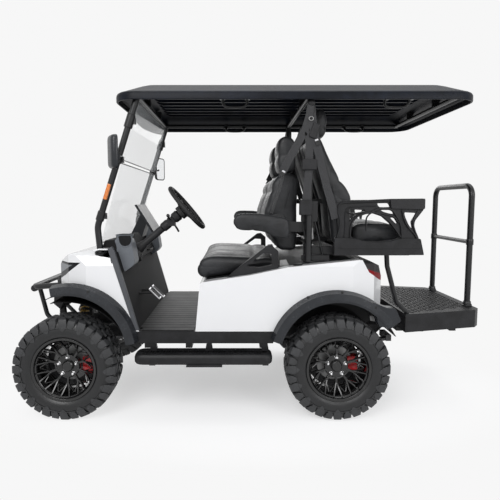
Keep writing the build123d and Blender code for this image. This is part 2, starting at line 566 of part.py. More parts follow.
# Seats: the deck under them, cushions, backs, armrests and side restraints
DECK = across(outline([(-289.7, 847), (-20, 888), (208, 936), (609.7, 974), (609.7, 962), (208, 924), (-20, 876), (-289.7, 835)]),
              RUNNING_GAP - WELL_HALF, WELL_HALF - RUNNING_GAP)
save("seat_deck", [DECK])
CUSHION = across(outline([
    (-289, 847.6), (-345, 945), (-334, 1002), (-280, 1042), (-200, 1050), (60, 1012), (92, 985), (96, 913.1),
    (-20, 888.6)]),
    -SEAT_HALF, SEAT_HALF)
save("front_cushion", [CUSHION])
REAR_CUSHION = across(outline([
    (622, 1056.4), (622, 1165), (645, 1180), (890, 1162), (940, 1140), (950, 1100), (946, 1056.4)]), -SEAT_HALF, SEAT_HALF)
save("rear_cushion", [REAR_CUSHION])
REAR_BASE = block((490, 950), (-SIDE_FRAME_Y, SIDE_FRAME_Y), (1000, 1056))
REAR_BASE -= block((520, 920), (-SEAT_HALF + 30, SEAT_HALF - 30), (990, 1030))


def seat_back(front, headrest, middle_y):
    """Backrest with its headrest on a stem, one person wide."""
    back = across(outline(front), middle_y - BACK_WIDTH / 2, middle_y + BACK_WIDTH / 2)
    head = across(outline(headrest), middle_y - 130, middle_y + 130)
    low = min(z for x, z in headrest)
    top = max(z for x, z in front)
    stem_x = sum(x for x, z in headrest) / len(headrest)
    stem = rod((stem_x, middle_y, top - 60), (stem_x, middle_y, low + 40), 22)
    return back + head + stem


FRONT_BACK = [
    (112, 1090), (76, 1245), (124, 1365), (157, 1490), (190, 1520), (262, 1524), (286, 1490), (288, 1215), (252, 1010),
    (170, 1016)]
FRONT_HEAD = [(185, 1500), (161, 1560), (165, 1700), (195, 1750), (250, 1756), (275, 1700), (262, 1510)]
REAR_BACK = [
    (505, 1056.4), (604, 1056.4), (612, 1190), (671, 1343), (648, 1417), (562, 1501), (462, 1730), (430, 1750), (378, 1742), (362, 1700),
    (478, 1330)]
REAR_HEAD = [(395, 1760), (372, 1800), (380, 1900), (410, 1942), (470, 1945), (508, 1900), (506, 1830), (470, 1755)]
FRONT_BACKS = [seat_back(FRONT_BACK, FRONT_HEAD, side * SEAT_PITCH / 2) for side in (-1, 1)]
REAR_BACKS = [seat_back(REAR_BACK, REAR_HEAD, side * SEAT_PITCH / 2) for side in (-1, 1)]
save("front_backs", FRONT_BACKS)

# Seat frame between the backs: cross bars on the centre posts, and the armrest brackets
SEAT_FRAME = REAR_BASE
for bar_z in (1080, 1330):
    SEAT_FRAME += rod((CENTRE_POST_X, -POST_Y + 19, bar_z), (CENTRE_POST_X, POST_Y - 19, bar_z), 16)
    for middle_y in (-SEAT_PITCH / 2, SEAT_PITCH / 2):
        SEAT_FRAME += block((CENTRE_POST_X - 50, CENTRE_POST_X + 180), (middle_y - 20, middle_y + 20), (bar_z - 15, bar_z + 15))
for bracket_side in (-1, 1):
    SEAT_FRAME += block((CENTRE_POST_X - 10, 500), 
                        (bracket_side * SEAT_BRACKET_Y - 15, bracket_side * SEAT_BRACKET_Y + 15), (1000, 1050))
    SEAT_FRAME += block((CENTRE_POST_X - 20, CENTRE_POST_X + 20), 
                        (bracket_side * SEAT_BRACKET_Y - 15, bracket_side * SEAT_BRACKET_Y + 15), (950.3, 1080))
    plate_y = (ARMREST_INNER - 7, ARMREST_INNER - 0.5)
    plate = across(outline([(166, 1142), (166, 1204), (CENTRE_POST_X, 1204), (CENTRE_POST_X, 1142)]), plate_y[0], plate_y[1])
    riser = block((CENTRE_POST_X - 12, CENTRE_POST_X), (SEAT_BRACKET_Y, plate_y[1]), (1050, 1204))
    pin = rod((ARMREST_PIVOT[0], plate_y[0], ARMREST_PIVOT[1]),
              (ARMREST_PIVOT[0], ARMREST_INNER + ARMREST_WIDTH - 20, ARMREST_PIVOT[1]), ARMREST_PIN_RADIUS)
    arm_bracket = plate + riser + pin
    SEAT_FRAME += arm_bracket if bracket_side > 0 else mirror(arm_bracket, about=Plane.XZ)
for back in FRONT_BACKS + REAR_BACKS:
    SEAT_FRAME -= back
save("seat_frame", [SEAT_FRAME])
save("rear_backs", REAR_BACKS)

ARMREST = across(outline([
    (-128, 1185), (-118, 1230), (-90, 1238), (205, 1236), (222, 1222), (225, 1130), (205, 1112), (150, 1114), (70, 1150),
    (-100, 1156)]), -ARMREST_INNER - ARMREST_WIDTH, -ARMREST_INNER)
ARMREST -= rod((ARMREST_PIVOT[0], -ARMREST_INNER - ARMREST_WIDTH + 20 - RUNNING_GAP, ARMREST_PIVOT[1]),
               (ARMREST_PIVOT[0], -ARMREST_INNER + 1, ARMREST_PIVOT[1]), ARMREST_PIN_RADIUS + RUNNING_GAP)
save("armrest_left", [ARMREST])
save("armrest_right", [mirror(ARMREST, about=Plane.XZ)])

RESTRAINT = outline([(-155, 868.3), (-120, 905), (80, 1060), (110, 1064), (150, 1030), (152, 925), (-20, 888.6)])
RESTRAINT -= outline([(-50, 935), (60, 1015), (112, 1012), (112, 945), (40, 930)], 8)
save("side_restraints", both(across(RESTRAINT, -SIDE_FRAME_Y - 24, -SIDE_FRAME_Y)))


# Rear side frames: the feature that takes the most skill, a panel pierced by an almond opening
def rear_side_frame():
    panel = outline([
        (485, 1003), (485, 1330), (520, 1318), (780, 1320), (820, 1342), (1032, 1346), (1032, 1282), (960, 1200),
        (1010, 1112), (1034, 1080), (1034, 1003)], 8)
    panel -= outline([(590, 1112), (590, 1262), (700, 1282), (820, 1270), (880, 1215), (870, 1130), (700, 1100)], 18)
    panel -= outline([(925, 1160), (925, 1262), (985, 1268), (960, 1215)], 6)
    return across(panel, -SIDE_FRAME_Y - SIDE_FRAME_THICKNESS, -SIDE_FRAME_Y)


save("rear_side_frames", both(rear_side_frame()))

# Rear step, its struts and the grab bar
STEP_PLAN = [
    (STEP_FRONT_X, -STEP_HALF), (STEP_REAR_X - 40, 120 - STEP_HALF), (STEP_REAR_X, 165 - STEP_HALF),
    (STEP_REAR_X, STEP_HALF - 165), (STEP_REAR_X - 40, STEP_HALF - 120), (STEP_FRONT_X, STEP_HALF)]
STEP = upward(outline(STEP_PLAN), STEP_TOP - STEP_DEPTH, STEP_TOP)
STEP -= upward(offset(outline(STEP_PLAN), -8, kind=Kind.INTERSECTION), STEP_TOP - STEP_DEPTH - 1, STEP_TOP - 12)
for rail_side in (-1, 1):
    STEP -= block((STEP_FRONT_X - 10, STEP_FRONT_X + 20), (rail_side * RAIL_Y - 35, rail_side * RAIL_Y + 35), (300, STEP_TOP - 60))
save("rear_step", [STEP])
STRUT = tube([(836, -SEAT_BRACKET_Y, 1000), (842, -SEAT_BRACKET_Y, 925), (905, -SEAT_BRACKET_Y, 700),
              (980, -SEAT_BRACKET_Y, STEP_TOP)], 30, 40)
save("step_struts", both(STRUT - STEP - SEAT_FRAME))
GRAB = tube([(GRAB_X, -GRAB_HALF, STEP_TOP), (GRAB_X, -GRAB_HALF, GRAB_TOP - 19), (GRAB_X, GRAB_HALF, GRAB_TOP - 19),
             (GRAB_X, GRAB_HALF, STEP_TOP)], TUBE, 70)
GRAB += rod((GRAB_X, -GRAB_HALF, 1058), (GRAB_X, GRAB_HALF, 1058), 14)
save("grab_bar", [GRAB])


# Brush guard: an upper hoop, a lower hoop and two uprights, on the frame's horns
def brush_guard():
    tip = GUARD_TIP_X + TUBE / 2
    guard = tube([(-1264, -290, 772), (tip, -262, 752), (tip, 262, 752), (-1264, 290, 772)], TUBE, 60)
    for side_y in (-RAIL_Y, RAIL_Y):
        guard += tube([(tip, side_y, 752), (tip + 50, side_y, 540), (FRAME_FRONT_X, side_y, RAIL_TOP - 40)], 30, 60)
    return guard - RAIL - mirror(RAIL, about=Plane.XZ)


save("brush_guard", [brush_guard()])

# Side boards, with brackets to the frame's outriggers
BOARD = across(outline([(-705, BOARD_TOP - 8), (-690, BOARD_TOP), (95, BOARD_TOP), (112, BOARD_TOP - 8),
                        (104, BOARD_TOP - BOARD_THICKNESS), (-695, BOARD_TOP - BOARD_THICKNESS)]),
               -BODY_HALF - BOARD_OUT, 55 - BODY_HALF)
for bracket_x in (-640, -390, 60):
    BOARD += block((bracket_x - 16, bracket_x + 16), (15 - BODY_HALF, 55 - BODY_HALF), (BOARD_TOP - 20, OUTRIGGER_BOTTOM))
save("side_boards", both(BOARD))

# Belt reels on the centre posts
REEL = block((CENTRE_POST_X - 30, CENTRE_POST_X + 50), (-POST_Y + 19.3, -POST_Y + 60), (1530, 1600))
save("belt_reels", both(REEL))
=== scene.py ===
# %% [markdown]
# # An electric utility vehicle, dressed for its portrait
# The hard parts of this lifted two-row buggy come from a CAD model whose pieces already stand in their places.
# This lesson keeps the ones whose shape is right and gives them real finishes.
# It builds the soft, sewn, treaded and small parts again as proper meshes, in the same metres.

# %% Load the frame
import math

import bmesh
import bpy
import numpy as np
from mathutils import Matrix, Vector


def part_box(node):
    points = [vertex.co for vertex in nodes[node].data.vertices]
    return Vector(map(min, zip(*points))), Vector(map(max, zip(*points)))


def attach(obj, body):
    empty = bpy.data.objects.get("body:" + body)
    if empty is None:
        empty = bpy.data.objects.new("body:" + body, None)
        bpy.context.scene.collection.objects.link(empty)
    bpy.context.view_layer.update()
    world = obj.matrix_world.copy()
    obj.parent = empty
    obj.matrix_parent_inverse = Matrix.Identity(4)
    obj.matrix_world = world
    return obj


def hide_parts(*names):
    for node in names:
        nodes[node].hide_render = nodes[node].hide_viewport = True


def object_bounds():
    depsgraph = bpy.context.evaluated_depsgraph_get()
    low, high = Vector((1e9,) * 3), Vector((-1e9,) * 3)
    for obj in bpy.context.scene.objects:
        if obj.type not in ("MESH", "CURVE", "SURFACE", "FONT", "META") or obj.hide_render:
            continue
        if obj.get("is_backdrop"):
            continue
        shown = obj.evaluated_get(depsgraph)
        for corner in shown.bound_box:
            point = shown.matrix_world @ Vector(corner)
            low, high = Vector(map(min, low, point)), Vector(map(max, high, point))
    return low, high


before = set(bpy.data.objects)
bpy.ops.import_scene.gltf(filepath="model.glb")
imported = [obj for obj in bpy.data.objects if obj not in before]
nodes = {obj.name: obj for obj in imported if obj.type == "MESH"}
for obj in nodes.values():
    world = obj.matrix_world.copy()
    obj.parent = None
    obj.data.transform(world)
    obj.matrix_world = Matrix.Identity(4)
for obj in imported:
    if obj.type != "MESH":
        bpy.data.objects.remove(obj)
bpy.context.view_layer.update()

# %% [markdown]
# ## Where things are
# Every later step needs a few sizes of the real vehicle: where the axles are, how big a tyre is, how wide the body is.
# They are read from the CAD pieces where a box gives them, so that the dressed parts stay on what carries them.

# %% Places on the vehicle
tyre_low, tyre_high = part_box("tyre_front_left")
TYRE_RADIUS = (tyre_high.z - tyre_low.z) / 2
TYRE_WIDTH = tyre_high.y - tyre_low.y
AXLE_Z = (tyre_high.z + tyre_low.z) / 2
WHEEL_Y = -(tyre_high.y + tyre_low.y) / 2
AXLE_X = {"front": (tyre_low.x + tyre_high.x) / 2, "rear": sum(v.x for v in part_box("tyre_rear_left")) / 2}
BODY_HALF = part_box("front_body")[1].y
STEER_ANGLE = math.radians(40)
WHEELS = {"front_left": ("front", -1), "front_right": ("front", 1), "rear_left": ("rear", -1),
    "rear_right": ("rear", 1)}


def at_wheel(axle, side):
    """Where a wheel's own drawing goes, its outer face turned outwards."""
    return Matrix.Translation((AXLE_X[axle], side * WHEEL_Y, AXLE_Z)) @ Matrix.Rotation(0 if side < 0 else math.pi, 4,
        "Z")


print("tyre radius", round(TYRE_RADIUS, 3), "axles at", {k: round(v, 3) for k, v in AXLE_X.items()})

# %% [markdown]
# ## Shader arithmetic as ordinary Python
# A material is a graph of nodes, and graphs are hard to read.
# So one small class wraps a socket and answers to + - * / and **, each of which adds a Math node.
# Every other node comes from a single method, `node`, which takes its kind, its settings and its sockets.

# %% A socket with arithmetic
class Signal:
    """A number that changes over a surface, as an output socket of a material being made."""

    def __init__(self, finish, socket):
        self.finish = finish
        self.socket = socket

    def __add__(self, other):
        return self.finish.math("ADD", self, other)

    def __radd__(self, other):
        return self.finish.math("ADD", other, self)

    def __sub__(self, other):
        return self.finish.math("SUBTRACT", self, other)

    def __rsub__(self, other):
        return self.finish.math("SUBTRACT", other, self)

    def __mul__(self, other):
        return self.finish.math("MULTIPLY", self, other)

    def __rmul__(self, other):
        return self.finish.math("MULTIPLY", other, self)

    def __truediv__(self, other):
        return self.finish.math("DIVIDE", self, other)

    def __pow__(self, other):
        return self.finish.math("POWER", self, other)


# %% A material being made
class Finish:
    """One material: nodes are added to it, and surface() ends it."""

    def __init__(self, name, owner=None):
        self.material = owner or bpy.data.materials.new(name)
        self.material.use_nodes = True
        self.tree = self.material.node_tree
        self.tree.nodes.clear()

    def node(self, kind, settings=(), sockets=(), output=0):
        made = self.tree.nodes.new("ShaderNode" + kind)
        for key, value in dict(settings).items():
            if key == "stops":
                ramp = made.color_ramp.elements
                while len(ramp) < len(value):
                    ramp.new(0.5)
                for element, (place, shade) in zip(ramp, value):
                    element.position = place
                    element.color = (shade, shade, shade, 1) if isinstance(shade, (int, float)) else (*shade, 1)
            else:
                setattr(made, key, value)
        for key, value in dict(sockets).items():
            if isinstance(value, Signal):
                self.tree.links.new(value.socket, made.inputs[key])
            elif value is not None:
                made.inputs[key].default_value = value
        return Signal(self, made.outputs[output])

    def math(self, operation, first, second=0.0):
        return self.node("Math", {"operation": operation}, {0: first, 1: second})

    def where(self):
        """Position on the piece in metres."""
        return self.node("TexCoord", output="Object")

    def axes(self):
        parts = self.node("SeparateXYZ", sockets={0: self.where()}).socket.node
        return [Signal(self, parts.outputs[i]) for i in range(3)]

    def noise(self, scale, detail=4.0, roughness=0.55, stretch=(1, 1, 1)):
        place = self.node("Mapping", sockets={"Vector": self.where(), "Scale": stretch})
        return self.node("TexNoise", sockets={"Vector": place, "Scale": scale, "Detail": detail,
            "Roughness": roughness})

    def ramp(self, signal, *stops):
        return self.node("ValToRGB", {"stops": stops}, {0: signal})

    def blend(self, factor, first, second):
        """Colour between two colours; each is a triple or a Signal."""
        pair = [c if isinstance(c, Signal) else (*c, 1) for c in (first, second)]
        return self.node("Mix", {"data_type": "RGBA"}, {"Factor": factor, 6: pair[0], 7: pair[1]}, output=2)

    def bump(self, height, depth, strength=1.0, under=None):
        return self.node("Bump", sockets={"Height": height, "Distance": depth, "Strength": strength, "Normal": under})

    def surface(self, colour, roughness, metallic=0.0, normal=None, **more):
        """Ends the material in a Principled shader. Extra sockets are named with _ for a space."""
        sockets = {key.replace("_", " "): value for key, value in more.items()}
        base = colour if isinstance(colour, Signal) else (*colour, 1)
        sockets.update({"Base Color": base, "Roughness": roughness, "Metallic": metallic, "Normal": normal})
        self.node_output(self.node("BsdfPrincipled", sockets=sockets))
        return self.material

    def node_output(self, shader, kind="OutputMaterial"):
        end = self.tree.nodes.new("ShaderNode" + kind)
        self.tree.links.new(shader.socket, end.inputs["Surface"])


print("shader arithmetic ready")

# %% [markdown]
# ## Camera, floor and light
# The photograph is a plain studio side view: the lens stands a little ahead of the vehicle's middle, about 1.3 m high,
# 2.6 m from the near wheels, and looks slightly down. Everything is made around that view first.
# The floor and the world are near white to the camera and to mirrors, and an ordinary matt grey to the lamps.

# %% Camera
EYE = (-0.11, -3.2, 1.318)
EYE_TILT = 85.0
SENSOR = 36.0
FOCAL_IN_PICTURE_WIDTHS = 0.88
camera_data = bpy.data.cameras.new("camera")
camera_data.sensor_width = SENSOR
camera_data.lens = FOCAL_IN_PICTURE_WIDTHS * SENSOR
camera_data.shift_x = 0.03
camera_data.shift_y = -0.017
camera = bpy.data.objects.new("camera", camera_data)
camera.location = EYE
camera.rotation_euler = (math.radians(EYE_TILT), 0, 0)
bpy.context.scene.collection.objects.link(camera)
bpy.context.scene.camera = camera
bpy.context.scene.view_settings.view_transform = "Standard"
print("lens", camera_data.lens, "mm at", EYE)

# %% World
PAPER = (0.93, 0.93, 0.93, 1)


def seen_directly(made):
    """1 for the camera's, a mirror's and a pane's rays, and 0 for the light that falls on the vehicle."""
    rays = made.node("LightPath").socket.node
    kinds = [Signal(made, rays.outputs[kind]) for kind in ("Is Camera Ray", "Is Transmission Ray", "Is Glossy Ray")]
    return made.math("MAXIMUM", made.math("MAXIMUM", kinds[0], kinds[1]), kinds[2])


world = bpy.data.worlds.new("studio")
bpy.context.scene.world = world
studio = Finish("studio", world)
ambient = studio.node("Background", sockets={"Color": (0.95, 0.975, 1.0, 1), "Strength": 0.42})
backdrop = studio.node("Background", sockets={"Color": PAPER})
studio.node_output(studio.node("MixShader", sockets={0: seen_directly(studio), 1: ambient, 2: backdrop}), "OutputWorld")
print("world", world.name)

# %% Floor
FLOOR_REACH = 60.0
FLOOR_UNDER_LAMPS, FLOOR_SEEN = (0.84, 0.84, 0.85, 1), (0.67, 0.67, 0.68, 1)
FLOOR_LIFT = 0.5
SHADOW_REACH, PLAIN_FROM = 0.45, 1.15  # metres from the middle: full shadow within the first, none past the second
floor_mesh = bpy.data.meshes.new("floor_sheet")
floor_mesh.from_pydata([(x * FLOOR_REACH, y * FLOOR_REACH, 0) for x, y in ((-1, -1), (1, -1), (1, 1), (-1, 1))], [],
    [(0, 1, 2, 3)])
floor = bpy.data.objects.new("floor_sheet", floor_mesh)
bpy.context.scene.collection.objects.link(floor)
floor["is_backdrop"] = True
paper = Finish("paper_floor")
far_x, far_y, far_z = paper.axes()
distance = paper.math("SQRT", far_x * far_x * 0.36 + far_y * far_y)
plain = paper.ramp(distance * 0.1, (SHADOW_REACH * 0.1, 0.0), (PLAIN_FROM * 0.1, 1.0))
matt = paper.node("BsdfDiffuse", sockets={"Color": FLOOR_UNDER_LAMPS})
grey = paper.node("BsdfDiffuse", sockets={"Color": FLOOR_SEEN})
lift = paper.node("Emission", sockets={"Color": PAPER, "Strength": FLOOR_LIFT})
glow = paper.node("Emission", sockets={"Color": PAPER, "Strength": 1.0})
lifted = paper.node("AddShader", sockets={0: grey, 1: lift})
shown = paper.node("MixShader", sockets={0: plain, 1: lifted, 2: glow})
paper.node_output(paper.node("MixShader", sockets={0: seen_directly(paper), 1: matt, 2: shown}))
floor.data.materials.append(paper.material)


# %% Lamps
def softbox(name, place, width, height, watts, target=(0.1, 0, 0.9)):
    lamp_data = bpy.data.lights.new(name, "AREA")
    lamp_data.shape = "RECTANGLE"
    lamp_data.size = width
    lamp_data.size_y = height
    lamp_data.energy = watts
    lamp = bpy.data.objects.new(name, lamp_data)
    lamp.location = place
    lamp.rotation_euler = (Vector(target) - Vector(place)).to_track_quat("-Z", "Y").to_euler()
    bpy.context.scene.collection.objects.link(lamp)


LAMPS = (
    # name, place, width, height, watts
    ("key_box", (-1.8, -4.6, 4.0), 3.2, 2.4, 158),
    ("side_box", (3.2, -3.8, 2.6), 2.4, 2.0, 60),
    ("top_box", (0.2, 0.4, 5.4), 5.0, 3.6, 92),
    ("back_box", (0.5, 5.0, 3.0), 4.5, 2.4, 80),
)
for lamp_row in LAMPS:
    softbox(*lamp_row)
print("lamps", [row[0] for row in LAMPS])

# %% [markdown]
# ## The finishes
# Nothing on the vehicle is one flat colour. Paint has a faint orange peel, moulded plastic a leather-like grain,
# powder coat a fine sparkle of bumps, rubber a dusty bloom. Each finish below is a small graph made for its material,
# with the constant values set on the shader itself and only colour, roughness and bumps changing over the surface.

# %% Gloss paint
def gloss_paint(name, colour):
    made = Finish(name)
    cloud = made.noise(2.2, 3.0)
    peel = made.noise(260.0, 2.0)
    grazing_shade = made.node("LayerWeight", sockets={"Blend": 0.5}, output=1)
    side_on = made.blend(cloud, tuple(c * 0.965 for c in colour), colour)
    # Painted shade: where the surface is seen edge-on, the paint darkens to a third of its colour, which greys the
    # outlines.
    shade = made.blend(grazing_shade ** 6.0, side_on, tuple(c * 0.35 for c in colour))
    rough = 0.2 + cloud * 0.1
    return made.surface(shade, rough, normal=made.bump(peel, 0.0004, 0.25), Coat_Weight=0.6, Coat_Roughness=0.06,
        Specular_IOR_Level=0.45)


# %% Moulded plastic
def moulded(name, colour, roughness=0.5, grain=420.0, depth=0.0006, light=2.4, shine=0.3):
    """Moulded plastic with a leather-like grain and slightly paler, rubbed high spots."""
    made = Finish(name)
    cells = made.node("TexVoronoi", {"feature": "SMOOTH_F1"}, {"Vector": made.where(), "Scale": grain})
    dust = made.noise(9.0, 8.0, 0.7)
    rubbed = made.ramp(dust, (0.42, 0.0), (0.66, 1.0))
    shade = made.blend(rubbed, colour, tuple(min(1.0, c * light) for c in colour))
    rough = roughness - 0.07 + dust * 0.14
    return made.surface(shade, rough, normal=made.bump(cells, depth, 0.5), Specular_IOR_Level=shine)


# %% Powder coat and enamel
def powder_coat(name, colour, roughness=0.38):
    made = Finish(name)
    fine = made.noise(900.0, 2.0)
    broad = made.noise(5.0, 4.0)
    shade = made.blend(broad, colour, tuple(c * 1.5 for c in colour))
    return made.surface(shade, roughness - 0.05 + broad * 0.1, normal=made.bump(fine, 0.0005, 0.35), Coat_Weight=0.12,
        Coat_Roughness=0.2, Specular_IOR_Level=0.35)


def enamel(name, colour, roughness=0.3):
    made = Finish(name)
    dirt = made.ramp(made.noise(24.0, 6.0), (0.45, 0.0), (0.75, 1.0))
    shade = made.blend(dirt, colour, tuple(c * 0.45 for c in colour))
    return made.surface(shade, roughness + 0.25 * dirt, normal=made.bump(made.noise(300.0), 0.0004, 0.3),
        Coat_Weight=0.3)


# %% Bare metal
def metal(name, colour, roughness, stretch=(1, 1, 1), grime=0.5):
    made = Finish(name)
    brushed = made.noise(160.0, 4.0, stretch=stretch)
    dull = made.ramp(made.noise(14.0, 5.0), (0.4, 0.0), (0.8, 1.0))
    shade = made.blend(dull * grime, colour, tuple(c * 0.4 for c in colour))
    return made.surface(shade, roughness + 0.12 * brushed + 0.2 * dull, 0.95, made.bump(brushed, 0.0003, 0.3))


# %% The finishes by name
WHITE_PAINT = gloss_paint("white_gloss", (0.79, 0.79, 0.8))
ROOF_MOULDING = moulded("roof_black", (0.003, 0.004, 0.0068), 0.4, 700.0, 0.0004, 2.4, 0.13)
GRAINED_PLASTIC = moulded("black_plastic", (0.0066, 0.0066, 0.0074), 0.48)
FLARE_PLASTIC = moulded("flare_plastic", (0.018, 0.0195, 0.0225), 0.26, 520.0, 0.0004, 1.4)
POD_PLASTIC = moulded("pod_grey", (0.13, 0.14, 0.155), 0.42, 600.0, 0.0004, 1.15)
# A black darker than the moulded black: painted shade for openings, recesses and the inside of the arches.
PAINTED_SHADE_BLACK = moulded("deep_black", (0.0022, 0.0022, 0.0025), 0.8, 300.0, 0.0006, 3.0)
TRIM_GREY = moulded("cowl_grey", (0.07, 0.073, 0.08), 0.45, 600.0, 0.0004, 1.2)
BLACK_TUBE = powder_coat("black_steel", (0.0055, 0.0058, 0.0065))
CHASSIS_BLACK = powder_coat("chassis_black", (0.007, 0.007, 0.0075), 0.55)
CAST_IRON = enamel("cast", (0.02, 0.02, 0.022), 0.5)
CALIPER_RED = enamel("caliper_red", (0.55, 0.008, 0.012), 0.25)
SPRING_GOLD = enamel("spring_gold", (0.5, 0.3, 0.05), 0.35)
BRIGHT_STEEL = metal("steel", (0.62, 0.62, 0.64), 0.25)
DULL_STEEL = metal("dull_steel", (0.3, 0.3, 0.3), 0.4)
CHROME = metal("chrome", (0.85, 0.85, 0.86), 0.08, grime=0.15)
print("painted and moulded finishes", len(bpy.data.materials))


# %% Gloss black wheel enamel
def gloss_black(name):
    made = Finish(name)
    dust = made.ramp(made.noise(30.0, 6.0), (0.5, 0.0), (0.8, 1.0))
    shade = made.blend(dust, (0.005, 0.005, 0.0055), (0.018, 0.0175, 0.017))
    return made.surface(shade, 0.16 + 0.3 * dust, 0.25, made.bump(made.noise(500.0), 0.0002, 0.2), Coat_Weight=0.5,
        Coat_Roughness=0.08)


RIM_BLACK = gloss_black("rim_black")


# %% Tyre rubber
def rubber(name, colour, bloom=0.5, roughness=0.62):
    made = Finish(name)
    fine = made.noise(380.0, 5.0)
    chalk = made.ramp(made.noise(11.0, 8.0, 0.7), (0.4, 0.0), (0.72, 1.0))
    shade = made.blend(chalk * bloom, colour, tuple(c * 2.0 for c in colour))
    return made.surface(shade, roughness + 0.16 * chalk, normal=made.bump(fine, 0.0008, 0.5), Specular_IOR_Level=0.5)


TYRE_RUBBER = rubber("tyre", (0.0055, 0.0058, 0.0066), 0.6, 0.36)
# The tread blocks take the same rubber four times paler than the carcass: painted light standing in for their lit tops.
PAINTED_LIGHT_TREAD = rubber("tread", (0.022, 0.0225, 0.024), 0.9, 0.55)
SOFT_RUBBER = rubber("rubber", (0.006, 0.006, 0.0065), 0.3)


# %% Seat vinyl, smooth and perforated
def vinyl(name, colour, perforated=False):
    """Coated seat fabric: a pebbled grain, and on the insert panels rows of punched holes, coloured near black as
    painted shade inside them.
    """
    made = Finish(name)
    pebble = made.node("TexVoronoi", {"feature": "SMOOTH_F1"}, {"Vector": made.where(), "Scale": 520.0})
    crease = made.noise(18.0, 6.0, 0.65)
    worn = made.ramp(made.noise(8.0, 7.0, 0.65), (0.38, 0.0), (0.68, 1.0))
    shade = made.blend(worn, tuple(c * 0.7 for c in colour), tuple(c * 1.8 for c in colour))
    rough = 0.36 + crease * 0.2
    skin = made.bump(crease, 0.006, 0.5, made.bump(pebble, 0.0006, 0.5))
    if perforated:
        holes = made.node("TexVoronoi", {"feature": "F1"}, {"Vector": made.where(), "Scale": 135.0, "Randomness": 0.0})
        punched_hole_shade = made.ramp(holes, (0.2, 1.0), (0.32, 0.0))
        # Painted shade: the holes are coloured near black for the shade inside them.
        shade = made.blend(punched_hole_shade, shade, (0.004, 0.004, 0.004))
        skin = made.bump(1 - punched_hole_shade, 0.0012, 0.8, skin)
        rough = rough + punched_hole_shade * 0.3
    return made.surface(shade, rough, normal=skin, Sheen_Weight=0.06, Sheen_Roughness=0.4, Specular_IOR_Level=0.35)


SMOOTH_VINYL = vinyl("leather", (0.012, 0.0125, 0.014))
INSERT_VINYL = vinyl("leather_insert", (0.028, 0.0285, 0.03), True)


# %% Belt webbing
def webbing(name):
    made = Finish(name)
    weave = made.node("TexWave", {"bands_direction": "DIAGONAL"}, {"Vector": made.where(), "Scale": 260.0,
        "Distortion": 0.6})
    shade = made.blend(weave, (0.012, 0.012, 0.013), (0.035, 0.035, 0.038))
    return made.surface(shade, 0.7 + weave * 0.1, normal=made.bump(weave, 0.0008, 0.6), Sheen_Weight=0.3)


BELT_WEBBING = webbing("webbing")


# %% Clear sheet
def clear_sheet(name, tint, base_alpha, edge_alpha, roughness=0.03):
    made = Finish(name)
    edge = made.node("LayerWeight", sockets={"Blend": 0.35}, output=1)
    smear = made.noise(3.5, 6.0)
    alpha = base_alpha + edge * edge_alpha + smear * 0.02
    return made.surface(tint, roughness + 0.05 * smear, normal=made.bump(smear, 0.0006, 0.1), Alpha=alpha,
        Specular_IOR_Level=0.12)


# %% Lamp units
def lamp_face(name, low_line, high_line, dark, bright, lower):
    """Sealed lamp unit: a dark rim above, a fluted band painted bright as a painted reflection of its reflector, and
    another colour below a slanting line; the flutes in both are striped with painted shade.
    """
    made = Finish(name)
    x, y, z = made.axes()
    height = z - low_line[1] - (x - low_line[0]) * low_line[2]
    band = made.ramp(height * 8.0 + 0.5, (0.48, 0.0), (0.52, 1.0))
    rim = made.ramp((z - high_line) * 8.0 + 0.5, (0.47, 0.0), (0.53, 1.0))
    flutes = made.node("TexWave", sockets={"Vector": made.where(), "Scale": 46.0, "Distortion": 0.4})
    # Painted reflection and painted shade: the band's colour is the reflector's glare, and the flutes alternate with
    # darker painted stripes.
    painted_band_reflection = made.blend(flutes, bright, tuple(c * 0.45 for c in bright))
    painted_flute_shade = made.blend(flutes, lower, tuple(c * 0.4 for c in lower))
    shade = made.blend(rim, made.blend(band, painted_flute_shade, painted_band_reflection), dark)
    return made.surface(shade, 0.25 + 0.14 * flutes, normal=made.bump(flutes, 0.0008, 0.3), Specular_IOR_Level=0.12)


# %% Screen and lenses
def screen_glass(name):
    made = Finish(name)
    prints = made.noise(18.0, 7.0)
    return made.surface(made.blend(prints, (0.01, 0.011, 0.013), (0.02, 0.022, 0.026)), 0.38 + prints * 0.16,
        normal=made.bump(prints, 0.0003, 0.1), Specular_IOR_Level=0.3)


def lens(name, colour, strength=0.0):
    made = Finish(name)
    facets_with_painted_shade = made.node("TexVoronoi", sockets={"Vector": made.where(), "Scale": 160.0})
    # Painted shade: each facet of the lens darkens towards its edges.
    return made.surface(made.blend(facets_with_painted_shade, colour, tuple(c * 0.5 for c in colour)), 0.12 + 0.2 * facets_with_painted_shade,
        normal=made.bump(facets_with_painted_shade, 0.001, 0.5), Coat_Weight=1.0, Emission_Color=(*colour, 1), Emission_Strength=strength)


CLEAR_PANE = clear_sheet("clear", (0.78, 0.81, 0.83), 0.035, 0.22)
# The band colours given here are painted reflections of each unit's reflector.
LAMP_COVER = lamp_face("lamp", (-1.13, 0.925, 0.55), 0.945, (0.007, 0.007, 0.008), (0.3, 0.31, 0.33),
    (0.02, 0.021, 0.024))
TAIL_COVER = lamp_face("lamp_red", (0.78, 0.888, -0.35), 0.955, (0.006, 0.006, 0.007), (0.05, 0.045, 0.047),
    (0.3, 0.012, 0.016))
SCREEN = screen_glass("screen")
AMBER_LENS = lens("amber_lens", (0.75, 0.2, 0.02), 0.12)
MIRROR_FACE = metal("mirror_face", (0.9, 0.91, 0.92), 0.02, grime=0.03)
print("materials so far", len(bpy.data.materials))


